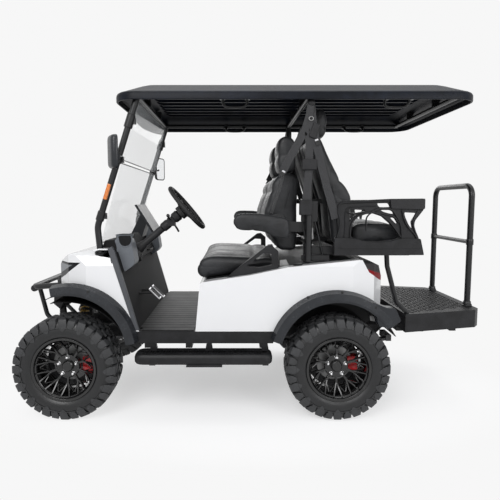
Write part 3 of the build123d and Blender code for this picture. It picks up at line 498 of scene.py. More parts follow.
# %% Ribbed floor mat and step tread
def ribbed_mat(name, colour, pitch, roughness=0.5):
    """Rubber mat with fine ribs that run fore and aft; the grooves between them are coloured near black as painted
    shade.
    """
    made = Finish(name)
    x, y, z = made.axes()
    wave = made.math("SINE", y * (2 * math.pi / pitch))
    ribs_and_groove_shade = made.ramp(wave * 0.5 + 0.5, (0.08, 0.0), (0.3, 1.0))
    dust = made.noise(9.0, 6.0)
    # Painted shade: the grooves go to about an eighth of the rubber's colour.
    shade = made.blend(ribs_and_groove_shade, tuple(c * 0.12 for c in colour), made.blend(dust, colour, tuple(c * 0.6 for c in colour)))
    return made.surface(shade, roughness + 0.15 * dust, normal=made.bump(ribs_and_groove_shade, 0.003, 0.9), Specular_IOR_Level=0.25)


FLOOR_MAT = ribbed_mat("floor_mat", (0.019, 0.0192, 0.0203), 0.058)
print("mats done")

# %% [markdown]
# ## Finishes for the CAD pieces that stay
# A CAD node keeps its vertices, and only gets a material, smooth shading up to a chosen angle, and a small bevel
# modifier, because no real edge is perfectly sharp and it is the rounded edge that catches the light.

# %% Table of finishes
DRESSING = (
    # finish, record slot, bevel in metres, nodes
    (ROOF_MOULDING, "roof_black", 0, "roof"),
    (WHITE_PAINT, "white_gloss", 0, "front_body rear_body"),
    (BLACK_TUBE, "black_steel", 0, "roof_frame roof_posts step_struts grab_bar brush_guard"),
    (BLACK_TUBE, "black_steel", 0.002, "seat_frame"),
    (CHASSIS_BLACK, "black_steel", 0.002, "front_suspension"),
    (CHASSIS_BLACK, "black_steel", 0.003, "frame_rails frame_members"),
    (FLARE_PLASTIC, "black_plastic", 0.0015, "wheel_flares"),
    (GRAINED_PLASTIC, "black_steel", 0.002, "steering_column"),
    (GRAINED_PLASTIC, "black_plastic", 0, "arch_liners mirrors"),
    (GRAINED_PLASTIC, "black_plastic", 0.001, "seat_deck"),
    (GRAINED_PLASTIC, "black_plastic", 0.004, "sills dash rear_side_frames"),
    (GRAINED_PLASTIC, "black_plastic", 0.005, "side_restraints"),
    (GRAINED_PLASTIC, "black_plastic", 0.006, "side_boards belt_reels battery_pack"),
    (GRAINED_PLASTIC, "black_plastic", 0.016, "rear_step"),
    (FLOOR_MAT, "black_plastic", 0.002, "floor"),
    (SOFT_RUBBER, "black_plastic", 0.002, "steering_wheel"),
    (DULL_STEEL, "black_plastic", 0.002, "pedals"),
    (DULL_STEEL, "steel", 0.001, "tie_rod"),
    (SCREEN, "screen", 0.003, "display"),
    (CLEAR_PANE, "clear", 0, "windshield"),
    (LAMP_COVER, "lamp", 0, "headlamps"),
    (TAIL_COVER, "lamp_red", 0, "tail_lamps"),
    (CAST_IRON, "cast", 0.002, "leaf_springs rear_axle knuckle_left knuckle_right"),
    (CAST_IRON, "cast", 0.004, "drive_motor"),
    (CALIPER_RED, "caliper_red", 0.004, "caliper_front_left caliper_front_right calipers_rear"),
    (SPRING_GOLD, "spring_gold", 0.001, "dampers"),
    (SMOOTH_VINYL, "leather", 0, "front_cushion rear_cushion front_backs rear_backs"),
    (SMOOTH_VINYL, "black_plastic", 0, "armrest_left armrest_right"),
    (TYRE_RUBBER, "tyre", 0, "tyre_front_left tyre_front_right tyre_rear_left tyre_rear_right"),
    (RIM_BLACK, "rim_black", 0.0012, "rim_front_left rim_front_right rim_rear_left rim_rear_right"),
)
PANEL_ANGLE = math.radians(60.8)
print("rows in the table", len(DRESSING))

# %% Dress the nodes
SMOOTH_ANGLE = math.radians(32)


def soften(piece, width, segments=2):
    """Small bevel on the hard edges, without touching the mesh itself."""
    bevel = piece.modifiers.new("edge", "BEVEL")
    bevel.width = width
    bevel.segments = segments
    bevel.limit_method = "ANGLE"
    bevel.angle_limit = SMOOTH_ANGLE
    bevel.harden_normals = True


dressed = set()
for material, slot_name, bevel_width, names in DRESSING:
    for name in names.split():
        node = nodes[name]
        node.data.materials.clear()
        node.data.materials.append(material)
        node.data.polygons.foreach_set("use_smooth", [True] * len(node.data.polygons))
        node.data.set_sharp_from_angle(angle=PANEL_ANGLE if material == WHITE_PAINT else SMOOTH_ANGLE)
        if bevel_width:
            soften(node, bevel_width)
        dressed.add(name)
print("dressed", len(dressed), "nodes, left over:", sorted(set(nodes) - dressed))

# %% [markdown]
# ## A small workshop for meshes
# Most of the small parts are turned, extruded or bent from tube, as they are on the real vehicle.
# So one maker collects such shapes in a list and turns them into a single object with a finish and a rounded edge.
# Written out, this keeps every size visible, and one object can hold all the bolts of a wheel.

# %% Drawing sizes
def mm(*points):
    """Points of a drawing, from millimetres to metres."""
    return [tuple(value / 1000 for value in point) for point in points]


def circle(centre, side, other, radius, segments):
    return [centre + (side * math.cos(t) + other * math.sin(t)) * radius
        for t in np.linspace(0, 2 * math.pi, segments, endpoint=False)]


def cut_corners(points, times, closed=False):
    """A line whose corners are eased by cutting them."""
    line = [Vector(point) for point in points]
    for _ in range(times):
        eased = [a.lerp(b, share) for a, b in zip(line, line[1:] + line[:1] if closed else line[1:])
            for share in (0.25, 0.75)]
        line = eased if closed else [line[0]] + eased + [line[-1]]
    return line


print("100 mm is", mm((100,))[0][0], "m")


# %% Making a piece
def settle(thing, materials, body="chassis", sharp=32):
    """Link an object, give it its finishes, and make it ride on a body."""
    bpy.context.scene.collection.objects.link(thing)
    for material in materials:
        thing.data.materials.append(material)
    thing.data.polygons.foreach_set("use_smooth", [True] * len(thing.data.polygons))
    thing.data.set_sharp_from_angle(angle=math.radians(sharp))
    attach(thing, body)
    return thing


def solid_mesh(name, verts, faces, finish=None):
    """Mesh of closed solids, with every face turned outwards."""
    mesh = bpy.data.meshes.new(name)
    mesh.from_pydata(verts, [], faces)
    if finish:
        mesh.polygons.foreach_set("material_index", finish)
    shape = bmesh.new()
    shape.from_mesh(mesh)
    bmesh.ops.recalc_face_normals(shape, faces=shape.faces[:])
    shape.to_mesh(mesh)
    shape.free()
    return mesh


# %% Flat stock
class FlatStock:
    """Collects solids that are an outline given a thickness."""

    def __init__(self):
        self.verts, self.faces, self.finish = [], [], []

    def skin(self, rings, closed=True, caps=True, finish=0):
        """Quads between rings of equally many points, with flat ends."""
        base, count = len(self.verts), len(rings[0])
        for ring in rings:
            self.verts += [tuple(point) for point in ring]
        for i in range(len(rings) - 1):
            for j in range(count if closed else count - 1):
                a, b = base + i * count + j, base + i * count + (j + 1) % count
                self.faces.append((a, b, b + count, a + count))
        if caps:
            self.faces.append(tuple(range(base + count - 1, base - 1, -1)))
            self.faces.append(tuple(range(base + (len(rings) - 1) * count, base + len(rings) * count)))
        self.finish += [finish] * (len(self.faces) - len(self.finish))
        return self

    def prism(self, points, axis, low, high, finish=0):
        """A flat outline pushed along x, y or z; its points give the other two axes in order."""
        def ring(level):
            return [tuple(np.insert(np.array(point, float), "xyz".index(axis), level)) for point in points]
        return self.skin([ring(low), ring(high)], finish=finish)

    def plate(self, outer, holes, low, high, finish=0):
        """A flat (x, z) outline with holes in it, pushed along y; a filled 2D curve does the cutting."""
        curve = bpy.data.curves.new("flat", "CURVE")
        curve.dimensions, curve.fill_mode, curve.extrude = "2D", "BOTH", (high - low) / 2
        for ring in (outer, *holes):
            spline = curve.splines.new("POLY")
            spline.points.add(len(ring) - 1)
            spline.points.foreach_set("co", [value for x, z in ring for value in (x, z, 0, 1)])
            spline.use_cyclic_u = True
        flat = bpy.data.objects.new("flat", curve)
        mesh = bpy.data.meshes.new_from_object(flat)
        base = len(self.verts)
        self.verts += [(v.co.x, (low + high) / 2 - v.co.z, v.co.y) for v in mesh.vertices]
        self.faces += [tuple(base + i for i in face.vertices) for face in mesh.polygons]
        self.finish += [finish] * len(mesh.polygons)
        bpy.data.objects.remove(flat)
        bpy.data.meshes.remove(mesh)
        return self

    def slab(self, low, high, *outline, finish=0):
        """A side view in millimetres, (x, z) points, given a width along y from low to high."""
        return self.prism(mm(*outline), "y", low / 1000, high / 1000, finish)

    def block(self, low, high, finish=0):
        x, y = (low[0], high[0]), (low[1], high[1])
        return self.prism([(x[0], y[0]), (x[1], y[0]), (x[1], y[1]), (x[0], y[1])], "z", low[2], high[2], finish)


# %% Round and bent stock
class BentStock(FlatStock):
    """Adds solids that are turned, or bent along a line."""

    def turned(self, profile, origin, axis, segments=32, finish=0, caps=True):
        """A profile of (along, radius) turned about an axis through an origin."""
        axis = Vector(axis).normalized()
        side = axis.orthogonal().normalized()
        other = axis.cross(side)
        rings = [circle(Vector(origin) + axis * reach, side, other, radius, segments) for reach, radius in profile]
        return self.skin(rings, caps=caps, finish=finish)

    def tube(self, points, radius, segments=12, finish=0, smooth=True, closed=False):
        """Round bar along points; the corners are eased by cutting them twice."""
        line = cut_corners(points, 2 if smooth else 0, closed)
        rings, side = [], None
        count = len(line)
        for i, point in enumerate(line):
            ahead = line[(i + 1) % count] if closed or i < count - 1 else point
            behind = line[i - 1] if closed or i > 0 else point
            way = (ahead - behind).normalized()
            side = way.orthogonal().normalized() if side is None else (side - way * side.dot(way)).normalized()
            other = way.cross(side)
            rings.append(circle(point, side, other, radius, segments))
        if closed:
            rings.append(rings[0])
        return self.skin(rings, caps=not closed, finish=finish)

    def strap(self, points, width, thickness, across, finish=0):
        """Flat band along points, its width lying along a direction."""
        half = Vector(across).normalized() * width / 2
        rings = []
        for i, point in enumerate(points):
            way = (Vector(points[min(i + 1, len(points) - 1)]) - Vector(points[max(i - 1, 0)])).normalized()
            skin = way.cross(half).normalized() * thickness / 2
            centre = Vector(point)
            rings.append([centre + half + skin, centre - half + skin, centre - half - skin, centre + half - skin])
        return self.skin(rings, finish=finish)


# %% The maker
class Maker(BentStock):
    """Copies, moves and mirrors what is collected, then makes one object of it."""

    def mirrored(self):
        """Adds the mirror image on the other side of the vehicle."""
        base = len(self.verts)
        self.verts += [(x, -y, z) for x, y, z in self.verts]
        self.faces += [tuple(base + i for i in reversed(face)) for face in self.faces]
        self.finish += self.finish
        return self

    def joined(self, other):
        """Adds a copy of another maker's solids."""
        base = len(self.verts)
        self.verts += other.verts
        self.faces += [tuple(base + i for i in face) for face in other.faces]
        self.finish += other.finish
        return self

    def moved(self, matrix):
        self.verts = [tuple(matrix @ Vector(v)) for v in self.verts]
        return self

    def make(self, name, materials, slot_name, body="chassis", bevel=0.0, sharp=32, segments=2, node=None):
        """Ends the work: one object on a body, which stands for a CAD node where one is named."""
        mesh = solid_mesh(name, self.verts, self.faces, self.finish)
        made = settle(bpy.data.objects.new(name, mesh), materials, body, sharp)
        if bevel:
            soften(made, bevel, segments)
        if node:
            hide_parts(node)
        print(name, "faces", len(mesh.polygons))
        return made


# %% Outlines
def rounded_off(points, radius, steps=4):
    """The same closed outline with its corners rounded."""
    line = []
    for i, corner in enumerate(points):
        here, before, after = Vector(corner), Vector(points[i - 1]), Vector(points[(i + 1) % len(points)])
        reach = min(radius, (before - here).length * 0.45, (after - here).length * 0.45)
        start, end = here + (before - here).normalized() * reach, here + (after - here).normalized() * reach
        for t in np.linspace(0, 1, steps):
            line.append(tuple(start * (1 - t) ** 2 + here * 2 * t * (1 - t) + end * t ** 2))
    return line


def loop(half_x, half_y, radius, steps=6):
    """A rectangle with rounded corners, in plan."""
    corners = ((half_x, half_y, 0), (-half_x, half_y, 90), (-half_x, -half_y, 180), (half_x, -half_y, 270))
    ring = []
    for x, y, start in corners:
        cx, cy = x - math.copysign(radius, x), y - math.copysign(radius, y)
        for t in np.linspace(0, 90, steps):
            turn = math.radians(start + t)
            ring.append((cx + radius * math.cos(turn), cy + radius * math.sin(turn)))
    return ring


print("workshop ready")

# %% [markdown]
# ## Tyres
# A lifted buggy stands on all-terrain tyres: a rounded carcass with thick blocks that wrap down the shoulder.
# The carcass is a profile turned about the axle, and each block is a short strip laid on it that keeps to its curve.
# Real blocks stand free of each other, so they are modelled, not faked with a bump that would leave the outline smooth.

# %% One tread block
GROUND = TYRE_RADIUS - 0.014
BLOCKS = 16


def tread_block(maker, path, turn, side):
    """Strip along (y, top radius, depth, angle, half width in metres) stations, placed at an angle round the tyre."""
    rings = []
    for y, top, depth, lean, half in path:
        corners = []
        for radius, spread in ((top, 1.0), (top - depth, 1.25)):
            for way in ((-1, 1) if radius == top else (1, -1)):
                angle = turn + side * math.radians(lean) + way * half * spread / top
                corners.append((radius * math.sin(angle), side * y, -radius * math.cos(angle)))
        rings.append(corners)
    # The blocks take the second finish, the paler tread rubber with its painted light.
    maker.skin(rings, finish=1)


SHOULDER_LONG = [(0.05, TYRE_RADIUS - 0.001, 0.014, -3.4, 0.015), (0.074, TYRE_RADIUS - 0.001, 0.014, -0.6, 0.021),
    (0.092, TYRE_RADIUS - 0.007, 0.016, 0.4, 0.0225), (0.1015, TYRE_RADIUS - 0.024, 0.014, 0.9, 0.0225),
    (0.105, TYRE_RADIUS - 0.046, 0.01, 1.2, 0.019), (0.1066, TYRE_RADIUS - 0.062, 0.008, 1.4, 0.011),
    (0.1066, TYRE_RADIUS - 0.074, 0.006, 1.5, 0.003)]
SHOULDER_SHORT = [(0.058, TYRE_RADIUS - 0.001, 0.014, 2.4, 0.015), (0.08, TYRE_RADIUS - 0.003, 0.014, 0.6, 0.02),
    (0.096, TYRE_RADIUS - 0.012, 0.016, 0.0, 0.02), (0.102, TYRE_RADIUS - 0.028, 0.012, 0.0, 0.018),
    (0.105, TYRE_RADIUS - 0.046, 0.008, 0.0, 0.011), (0.1062, TYRE_RADIUS - 0.056, 0.006, 0.0, 0.003)]
MIDDLE = [(0.003, TYRE_RADIUS, 0.014, 5.2, 0.013), (0.02, TYRE_RADIUS, 0.014, 2.2, 0.017),
    (0.042, TYRE_RADIUS, 0.014, 6.0, 0.013)]

# %% The whole tyre
tyre_maker = Maker()
half = TYRE_WIDTH / 2
carcass = [(-0.0855, 0.1825), (-0.0915, 0.198), (-half + 0.011, 0.203), (-half + 0.005, 0.214), (-half + 0.0005, 0.23),
    (-half + 0.0025, 0.248), (-half + 0.0055, 0.262), (-half + 0.01, 0.274), (-half + 0.017, GROUND - 0.014),
    (-half + 0.028, GROUND - 0.005), (-0.06, GROUND - 0.001), (0, GROUND)]
tyre_maker.turned(carcass + [(-y, r) for y, r in reversed(carcass[:-1])], (0, 0, 0), (0, 1, 0), 96, caps=False)
for ring_radius in (0.2085, 0.259):
    for face in (-1, 1):
        edge = face * (half - (0.009 if ring_radius < 0.22 else 0.0))
        tyre_maker.turned([(edge + face * t, ring_radius + r) for t, r in mm((-2, -3), (0, -1.5), (0, 1.5), (-2, 3))],
            (0, 0, 0), (0, 1, 0), 96, caps=False)
for block in range(BLOCKS):
    pitch = 2 * math.pi / BLOCKS
    for face in (-1, 1):
        turn = block * pitch + (pitch / 2 if face > 0 else 0)
        tread_block(tyre_maker, SHOULDER_LONG, turn, face)
        tread_block(tyre_maker, SHOULDER_SHORT, turn + pitch / 2, face)
        tread_block(tyre_maker, MIDDLE, turn + 0.02, face)
        tread_block(tyre_maker, MIDDLE, turn + 0.02 + pitch / 2, face)
for corner, (axle, side) in WHEELS.items():
    Maker().joined(tyre_maker).moved(at_wheel(axle, side)).make("lugged_tyre_" + corner, [TYRE_RUBBER, PAINTED_LIGHT_TREAD],
        "tyre", "wheel_" + corner, 0.0018, 28, 1, "tyre_" + corner)

# %% [markdown]
# ### Wheel nuts and caps
# Five bright nuts on a 114 mm circle hold each wheel, round a black cap, and a valve stands in the rim.
# They are small, but in a side view the eye goes to them, because they are the only bright spots on a black wheel.

# %% Nuts, cap and valve
NUT_CIRCLE = 0.057
CAP_RADIUS = 0.034
for corner, (axle, side) in WHEELS.items():
    centre = Vector((AXLE_X[axle], side * WHEEL_Y, AXLE_Z))
    out = Vector((0, side, 0))
    face = centre + out * 0.022
    nuts = Maker()
    for nut in range(5):
        turn = math.radians(90 + 72 * nut)
        foot = face + Vector((math.cos(turn), 0, math.sin(turn))) * NUT_CIRCLE
        nuts.turned(mm((0, 12.5), (3, 12.5), (3, 10.5), (16, 10.5), (21, 5.5)), foot, out, 6)
    nuts.make("wheel_nuts_" + corner, [CHROME], "steel", "wheel_" + corner, 0.0008)
    cap = Maker()
    cap.turned([(-0.01, CAP_RADIUS), (0.01, CAP_RADIUS), (0.016, CAP_RADIUS - 0.006), (0.018, 0.012), (0.016, 0.004)],
        face, out, 32)
    stem = centre + out * 0.075 + Vector((0.098, 0, -0.098)) * 1.12
    cap.turned(mm((-20, 4), (12, 4), (13, 5.5), (22, 5.5), (24, 3)), stem, out, 12)
    cap.make("hub_cap_" + corner, [RIM_BLACK], "rim_black", "wheel_" + corner, 0.0008)

# %% [markdown]
# ## Seats
# Each cushion is foam under sewn vinyl: it crowns between its seams, is drawn in along them, and rests flat underneath.
# A good start is the cushion's side outline carried across the seat, with round ends and closed sides.
# Then a short cloth simulation with air pressure blows every panel up, while the seams and the underside stay pinned.
# The simulation gives the tight, slightly uneven skin that smooth shapes lack, and a cap on its travel keeps the size.

# %% Outline tools
def eased(points, radius):
    """Closed outline with its corners cut twice."""
    points = np.array(points, float)
    for reach in (radius, radius * 0.4):
        line = []
        for before, corner, after in zip(np.roll(points, 1, 0), points, np.roll(points, -1, 0)):
            for other in (before, after):
                away = other - corner
                line.append(corner + away * min(reach / np.linalg.norm(away), 0.33))
        points = np.array(line)
    return points


def even(points, step):
    """The same closed outline in even steps."""
    loop = np.vstack([points, points[:1]])
    run = np.r_[0, np.cumsum(np.linalg.norm(np.diff(loop, axis=0), axis=1))]
    at = np.linspace(0, run[-1], int(round(run[-1] / step)), endpoint=False)
    return np.stack([np.interp(at, run, loop[:, i]) for i in (0, 1)], 1)


def outward(ring):
    """Unit normals of a closed outline, pointing out of it."""
    way = np.roll(ring, -1, 0) - np.roll(ring, 1, 0)
    normal = np.stack([way[:, 1], -way[:, 0]], 1) / np.linalg.norm(way, axis=1)[:, None]
    area = np.sum(ring[:, 0] * np.roll(ring[:, 1], -1) - np.roll(ring[:, 0], -1) * ring[:, 1])
    return normal if area > 0 else -normal


# %% Skin of a pad
PAD_STEP = 0.015
PADS = []


def pad_skin(side, y_low, y_high, edge, seams, cross, rests, puff, corner, shrink):
    """Points and faces of a pad's cover, and how firmly each point is held."""
    ring = even(eased(side, corner), PAD_STEP)
    normal = outward(ring)
    ring = ring - normal * shrink
    rows = []
    for step in range(4):
        turn = step / 4 * math.pi / 2
        rows.append((y_low + shrink + edge * (1 - math.cos(turn)), edge * (1 - math.sin(turn))))
    inner = np.linspace(y_low + shrink + edge, y_high - shrink - edge, max(3, int((y_high - y_low) / 0.018)))
    rows += [(y, 0.0) for y in inner] + [(y_high + y_low - y, inset) for y, inset in reversed(rows)]
    count = len(ring)
    marks = [int(np.argmin(np.linalg.norm(ring - np.array(point), axis=1))) for point in cross]
    verts, pinned = [], []
    for y, inset in rows:
        for j in range(count):
            near = [abs(y - seam) for seam in seams] + [PAD_STEP * min(abs(j - m), count - abs(j - m)) for m in marks]
            if inset == 0.0 and not seams:
                near.append(min(abs(y - y_low - edge), abs(y_high - edge - y)))
            gap = min(near) if near else 1.0
            flat = rests is not None and rests(ring[j][0], ring[j][1])
            lift = 0.0 if flat else puff * (1 - math.exp(-(gap / 0.03) ** 2)) - 0.006 * math.exp(-(gap / 0.006) ** 2)
            spot = ring[j] - normal[j] * (inset - lift)
            verts.append((spot[0], y, spot[1]))
            pinned.append(1.0 if flat or gap < 0.005 else 0.0)
    faces = [(i * count + j, i * count + (j + 1) % count, (i + 1) * count + (j + 1) % count, (i + 1) * count + j)
        for i in range(len(rows) - 1) for j in range(count)]
    centre = ring.mean(axis=0)
    for end, first in ((0, -1), (len(rows) - 1, 1)):
        edge_ring = [end * count + j for j in range(count)]
        y_end = rows[end][0]
        for level in (0.78, 0.54, 0.3):
            base = len(verts)
            for j in range(count):
                x0, _, z0 = verts[end * count + j]
                spot = centre + (np.array((x0, z0)) - centre) * level
                verts.append((spot[0], y_end + first * 0.004 * (1 - level), spot[1]))
                pinned.append(0.0)
            now = [base + j for j in range(count)]
            faces += [(edge_ring[j], now[j], now[(j + 1) % count], edge_ring[(j + 1) % count]) for j in range(count)]
            edge_ring = now
        verts.append((centre[0], y_end + first * 0.004, centre[1]))
        pinned.append(0.0)
        faces += [(edge_ring[j], len(verts) - 1, edge_ring[(j + 1) % count]) for j in range(count)]
    return verts, faces, pinned


# %% Make a pad
def pad(name, side, y_low, y_high, edge, body="chassis", node=None, seams=(), cross=(),
        insert=None, rests=None, puff=0.007, corner=0.02, shrink=0.004):
    """Upholstered pad. seams are y values, cross are (x, z) points on the outline, rests tells what stays flat."""
    verts, faces, pinned = pad_skin(side, y_low, y_high, edge, seams, cross, rests, puff, corner, shrink)
    mesh = solid_mesh(name, verts, faces)
    made = settle(bpy.data.objects.new(name, mesh), [SMOOTH_VINYL, INSERT_VINYL], body, 180)
    if insert:
        for face in mesh.polygons:
            face.material_index = 1 if insert(*face.center) else 0
    group = made.vertex_groups.new(name="sewn")
    for i, weight in enumerate(pinned):
        if weight:
            group.add([i], weight, "REPLACE")
    if node:
        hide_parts(node)
    PADS.append(made)
    print(name, "vertices", len(verts), "pinned", int(sum(pinned)))
    return made


# %% Front bench cushion
FRONT_SEAT_SIDE = mm((-289, 847.6), (-335, 858), (-350, 902), (-342, 950), (-288, 979), (-235, 986), (-127, 982),
    (120, 972), (140, 960), (144, 923.1), (-20, 888.6))
SEAT_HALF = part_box("front_cushion")[1].y
SEAT_SEAMS = (-0.4, -0.165, 0.165, 0.4)


def on_seat_insert(x, y, z):
    return 0.165 < abs(y) < 0.4 and z > 0.905


pad("front_bench", FRONT_SEAT_SIDE, -SEAT_HALF, SEAT_HALF, 0.034, body="front_cushion", node="front_cushion",
    seams=SEAT_SEAMS, cross=((-0.346, 0.93), (0.03, 0.976)), insert=on_seat_insert,
    rests=lambda x, z: z < 0.855 + (x + 0.289) * 0.18 and x > -0.28)

# %% Rear bench cushion
REAR_SEAT_SIDE = mm((622, 1056.4), (622, 1165), (648, 1186), (700, 1192), (880, 1184), (935, 1156), (950, 1110),
    (946, 1056.4))
pad("rear_bench", REAR_SEAT_SIDE, -SEAT_HALF, SEAT_HALF, 0.03, body="rear_cushion", node="rear_cushion",
    seams=SEAT_SEAMS, cross=((0.945, 1.13),), insert=lambda x, y, z: 0.165 < abs(y) < 0.4 and z > 1.1,
    rests=lambda x, z: z < 1.06)

# %% Backs and headrests
FRONT_BACK_SIDE = mm((158, 1020), (145, 1089), (92, 1160), (57, 1232), (70, 1269), (94, 1306), (118, 1428), (142, 1471),
    (175, 1500), (240, 1503), (271, 1483), (267, 1038), (256, 1020))
FRONT_HEAD_SIDE = mm((178, 1506), (160, 1560), (157, 1654), (169, 1717), (195, 1745), (245, 1742), (278, 1704),
    (280, 1528), (242, 1506))
REAR_BACK_SIDE = mm((505, 1056.4), (604, 1056.4), (608, 1190), (613, 1336), (599, 1379), (567, 1428), (504, 1520),
    (447, 1641), (421, 1701), (400, 1730), (365, 1728), (350, 1700), (478, 1330))
REAR_HEAD_SIDE = mm((391, 1735), (375, 1800), (383, 1872), (414, 1921), (458, 1909), (478, 1841), (473, 1760),
    (442, 1728))
BACK_CENTRE, BACK_HALF, HEAD_HALF = 0.245, 0.2275, 0.13
for hand, y in (("left", -BACK_CENTRE), ("right", BACK_CENTRE)):
    def on_front_insert(px, py, pz, middle=y):
        return abs(py - middle) < 0.135 and px < 0.165 and 1.1 < pz < 1.46

    def on_rear_insert(px, py, pz, middle=y):
        return abs(py - middle) < 0.135 and 1.22 < pz < 1.66 and px > 0.53 - (pz - 1.33) * 0.32

    parts = [pad("front_back_" + hand, FRONT_BACK_SIDE, y - BACK_HALF, y + BACK_HALF, 0.03,
        seams=(y - 0.135, y + 0.135), cross=((0.066, 1.25), (0.112, 1.4)), insert=on_front_insert),
        pad("front_headrest_" + hand, FRONT_HEAD_SIDE, y - HEAD_HALF, y + HEAD_HALF, 0.032, cross=((0.158, 1.62),),
        insert=lambda px, py, pz, middle=y: abs(py - middle) < 0.09 and px < 0.18 and 1.55 < pz < 1.7),
        pad("rear_back_" + hand, REAR_BACK_SIDE, y - BACK_HALF, y + BACK_HALF, 0.028, seams=(y - 0.135, y + 0.135),
        cross=((0.613, 1.3), (0.54, 1.46)), insert=on_rear_insert), pad("rear_headrest_" + hand, REAR_HEAD_SIDE,
        y - HEAD_HALF, y + HEAD_HALF, 0.032, cross=((0.476, 1.8),),
        insert=lambda px, py, pz, middle=y: abs(py - middle) < 0.09 and px > 0.44 and 1.76 < pz < 1.88)]
    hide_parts("front_backs")
    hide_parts("rear_backs")

# %% Armrests
ARM_SIDE = mm((-129, 1190), (-118, 1238), (-86, 1260), (50, 1258), (195, 1232), (222, 1212), (222, 1115), (205, 1104),
    (130, 1104), (70, 1143), (-100, 1152))
for hand in ("left", "right"):
    low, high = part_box("armrest_" + hand)
    pad("arm_pad_" + hand, ARM_SIDE, low.y, high.y, 0.022, "armrest_" + hand, "armrest_" + hand,
        cross=((-0.12, 1.18), (0.0, 1.148)), puff=0.003)

# %% [markdown]
# ### Blow the pads up
# All the pads are simulated together, for a few frames under air pressure with gravity off.
# The underside and the seams are pinned, and no point may travel past the cap, so each pad keeps its place and size.

# %% Cloth
TRAVEL_CAP = 0.008
SIM_FRAMES = 16
before = {}
for piece in PADS:
    before[piece.name] = np.array([v.co[:] for v in piece.data.vertices])
    cloth = piece.modifiers.new("air", "CLOTH")
    cloth.settings.quality = 4
    cloth.settings.mass = 0.25
    cloth.settings.use_pressure = True
    cloth.settings.uniform_pressure_force = 4.0
    cloth.settings.vertex_group_mass = "sewn"
    cloth.settings.effector_weights.gravity = 0.0
    cloth.collision_settings.use_collision = False
for moment in range(1, SIM_FRAMES + 1):
    bpy.context.scene.frame_set(moment)
depsgraph = bpy.context.evaluated_depsgraph_get()
for piece in PADS:
    blown = np.array([v.co[:] for v in piece.evaluated_get(depsgraph).data.vertices])
    travel = blown - before[piece.name]
    length = np.maximum(np.linalg.norm(travel, axis=1), 1e-9)[:, None]
    settled = before[piece.name] + travel * np.minimum(1.0, TRAVEL_CAP / length)
    piece.modifiers.clear()
    piece.data.vertices.foreach_set("co", settled.ravel())
    piece.data.update()
    print(piece.name, "largest travel mm", round(float(np.linalg.norm(travel, axis=1).max()) * 1000, 1))
bpy.context.scene.frame_set(1)
for piece in PADS:
    rounder = piece.modifiers.new("round", "SUBSURF")
    rounder.levels = 1
    rounder.render_levels = 1
print("pads", len(PADS))

# %% [markdown]
# ## Wheels
# The wheel is a deep black mesh: ten thin spokes that fork on their way out, so that twenty prongs meet the barrel.
# It is dished. The hub face lies well inside the tyre and the prongs climb outwards to the lip.
# Behind it stand a bright disc, the caliper and a dark shield, which is why no daylight comes through a real wheel.

# %% Forked rims
RIM_LIP, WELL, RIM_HALF = 0.196, 0.173, 0.097
SPOKES = 10
rim_maker = Maker()
rim_maker.turned([(-RIM_HALF, 0.19), (-RIM_HALF, RIM_LIP), (-RIM_HALF + 0.007, RIM_LIP), (-RIM_HALF + 0.011, 0.1785),
    (RIM_HALF - 0.011, 0.1785), (RIM_HALF - 0.007, RIM_LIP), (RIM_HALF, RIM_LIP), (RIM_HALF - 0.004, WELL),
    (0.02, 0.1655), (-RIM_HALF + 0.02, WELL - 0.003), (-RIM_HALF + 0.012, 0.1775), (-RIM_HALF + 0.003, 0.1815),
    (-RIM_HALF, 0.19)], (0, 0, 0), (0, 1, 0), 96, caps=False)
rim_maker.turned(mm((-20, 30), (-24, 52), (-26, 70), (-18, 75), (4, 75), (4, 30)), (0, 0, 0), (0, 1, 0), 40)
print("barrel points", len(rim_maker.verts))

# %% Spokes
for number in range(SPOKES):
    turn = 2 * math.pi * number / SPOKES
    out = Vector((math.sin(turn), 0, math.cos(turn)))
    round_way = Vector((math.cos(turn), 0, -math.sin(turn)))

    def spot(radius, sideways, depth):
        return out * radius + round_way * sideways + Vector((0, depth, 0))

    rim_maker.strap([spot(0.06, 0, -0.016), spot(0.082, 0, -0.02), spot(0.106, 0, -0.026)], 0.013, 0.02, round_way)
    for hand in (-1, 1):
        rim_maker.strap([spot(0.098, hand * 0.001, -0.024), spot(0.122, hand * 0.0085, -0.035),
            spot(0.146, hand * 0.0175, -0.053), spot(0.1745, hand * 0.0275, -0.08)], 0.0085, 0.017,
            round_way + out * hand * -0.38)
        rim_maker.strap([spot(0.112, hand * 0.005, -0.026), spot(0.13, hand * 0.024, -0.04),
            spot(0.151, hand * 0.0475, -0.057)], 0.006, 0.01, round_way * 0.4 + out * -hand)
print("rim points", len(rim_maker.verts))

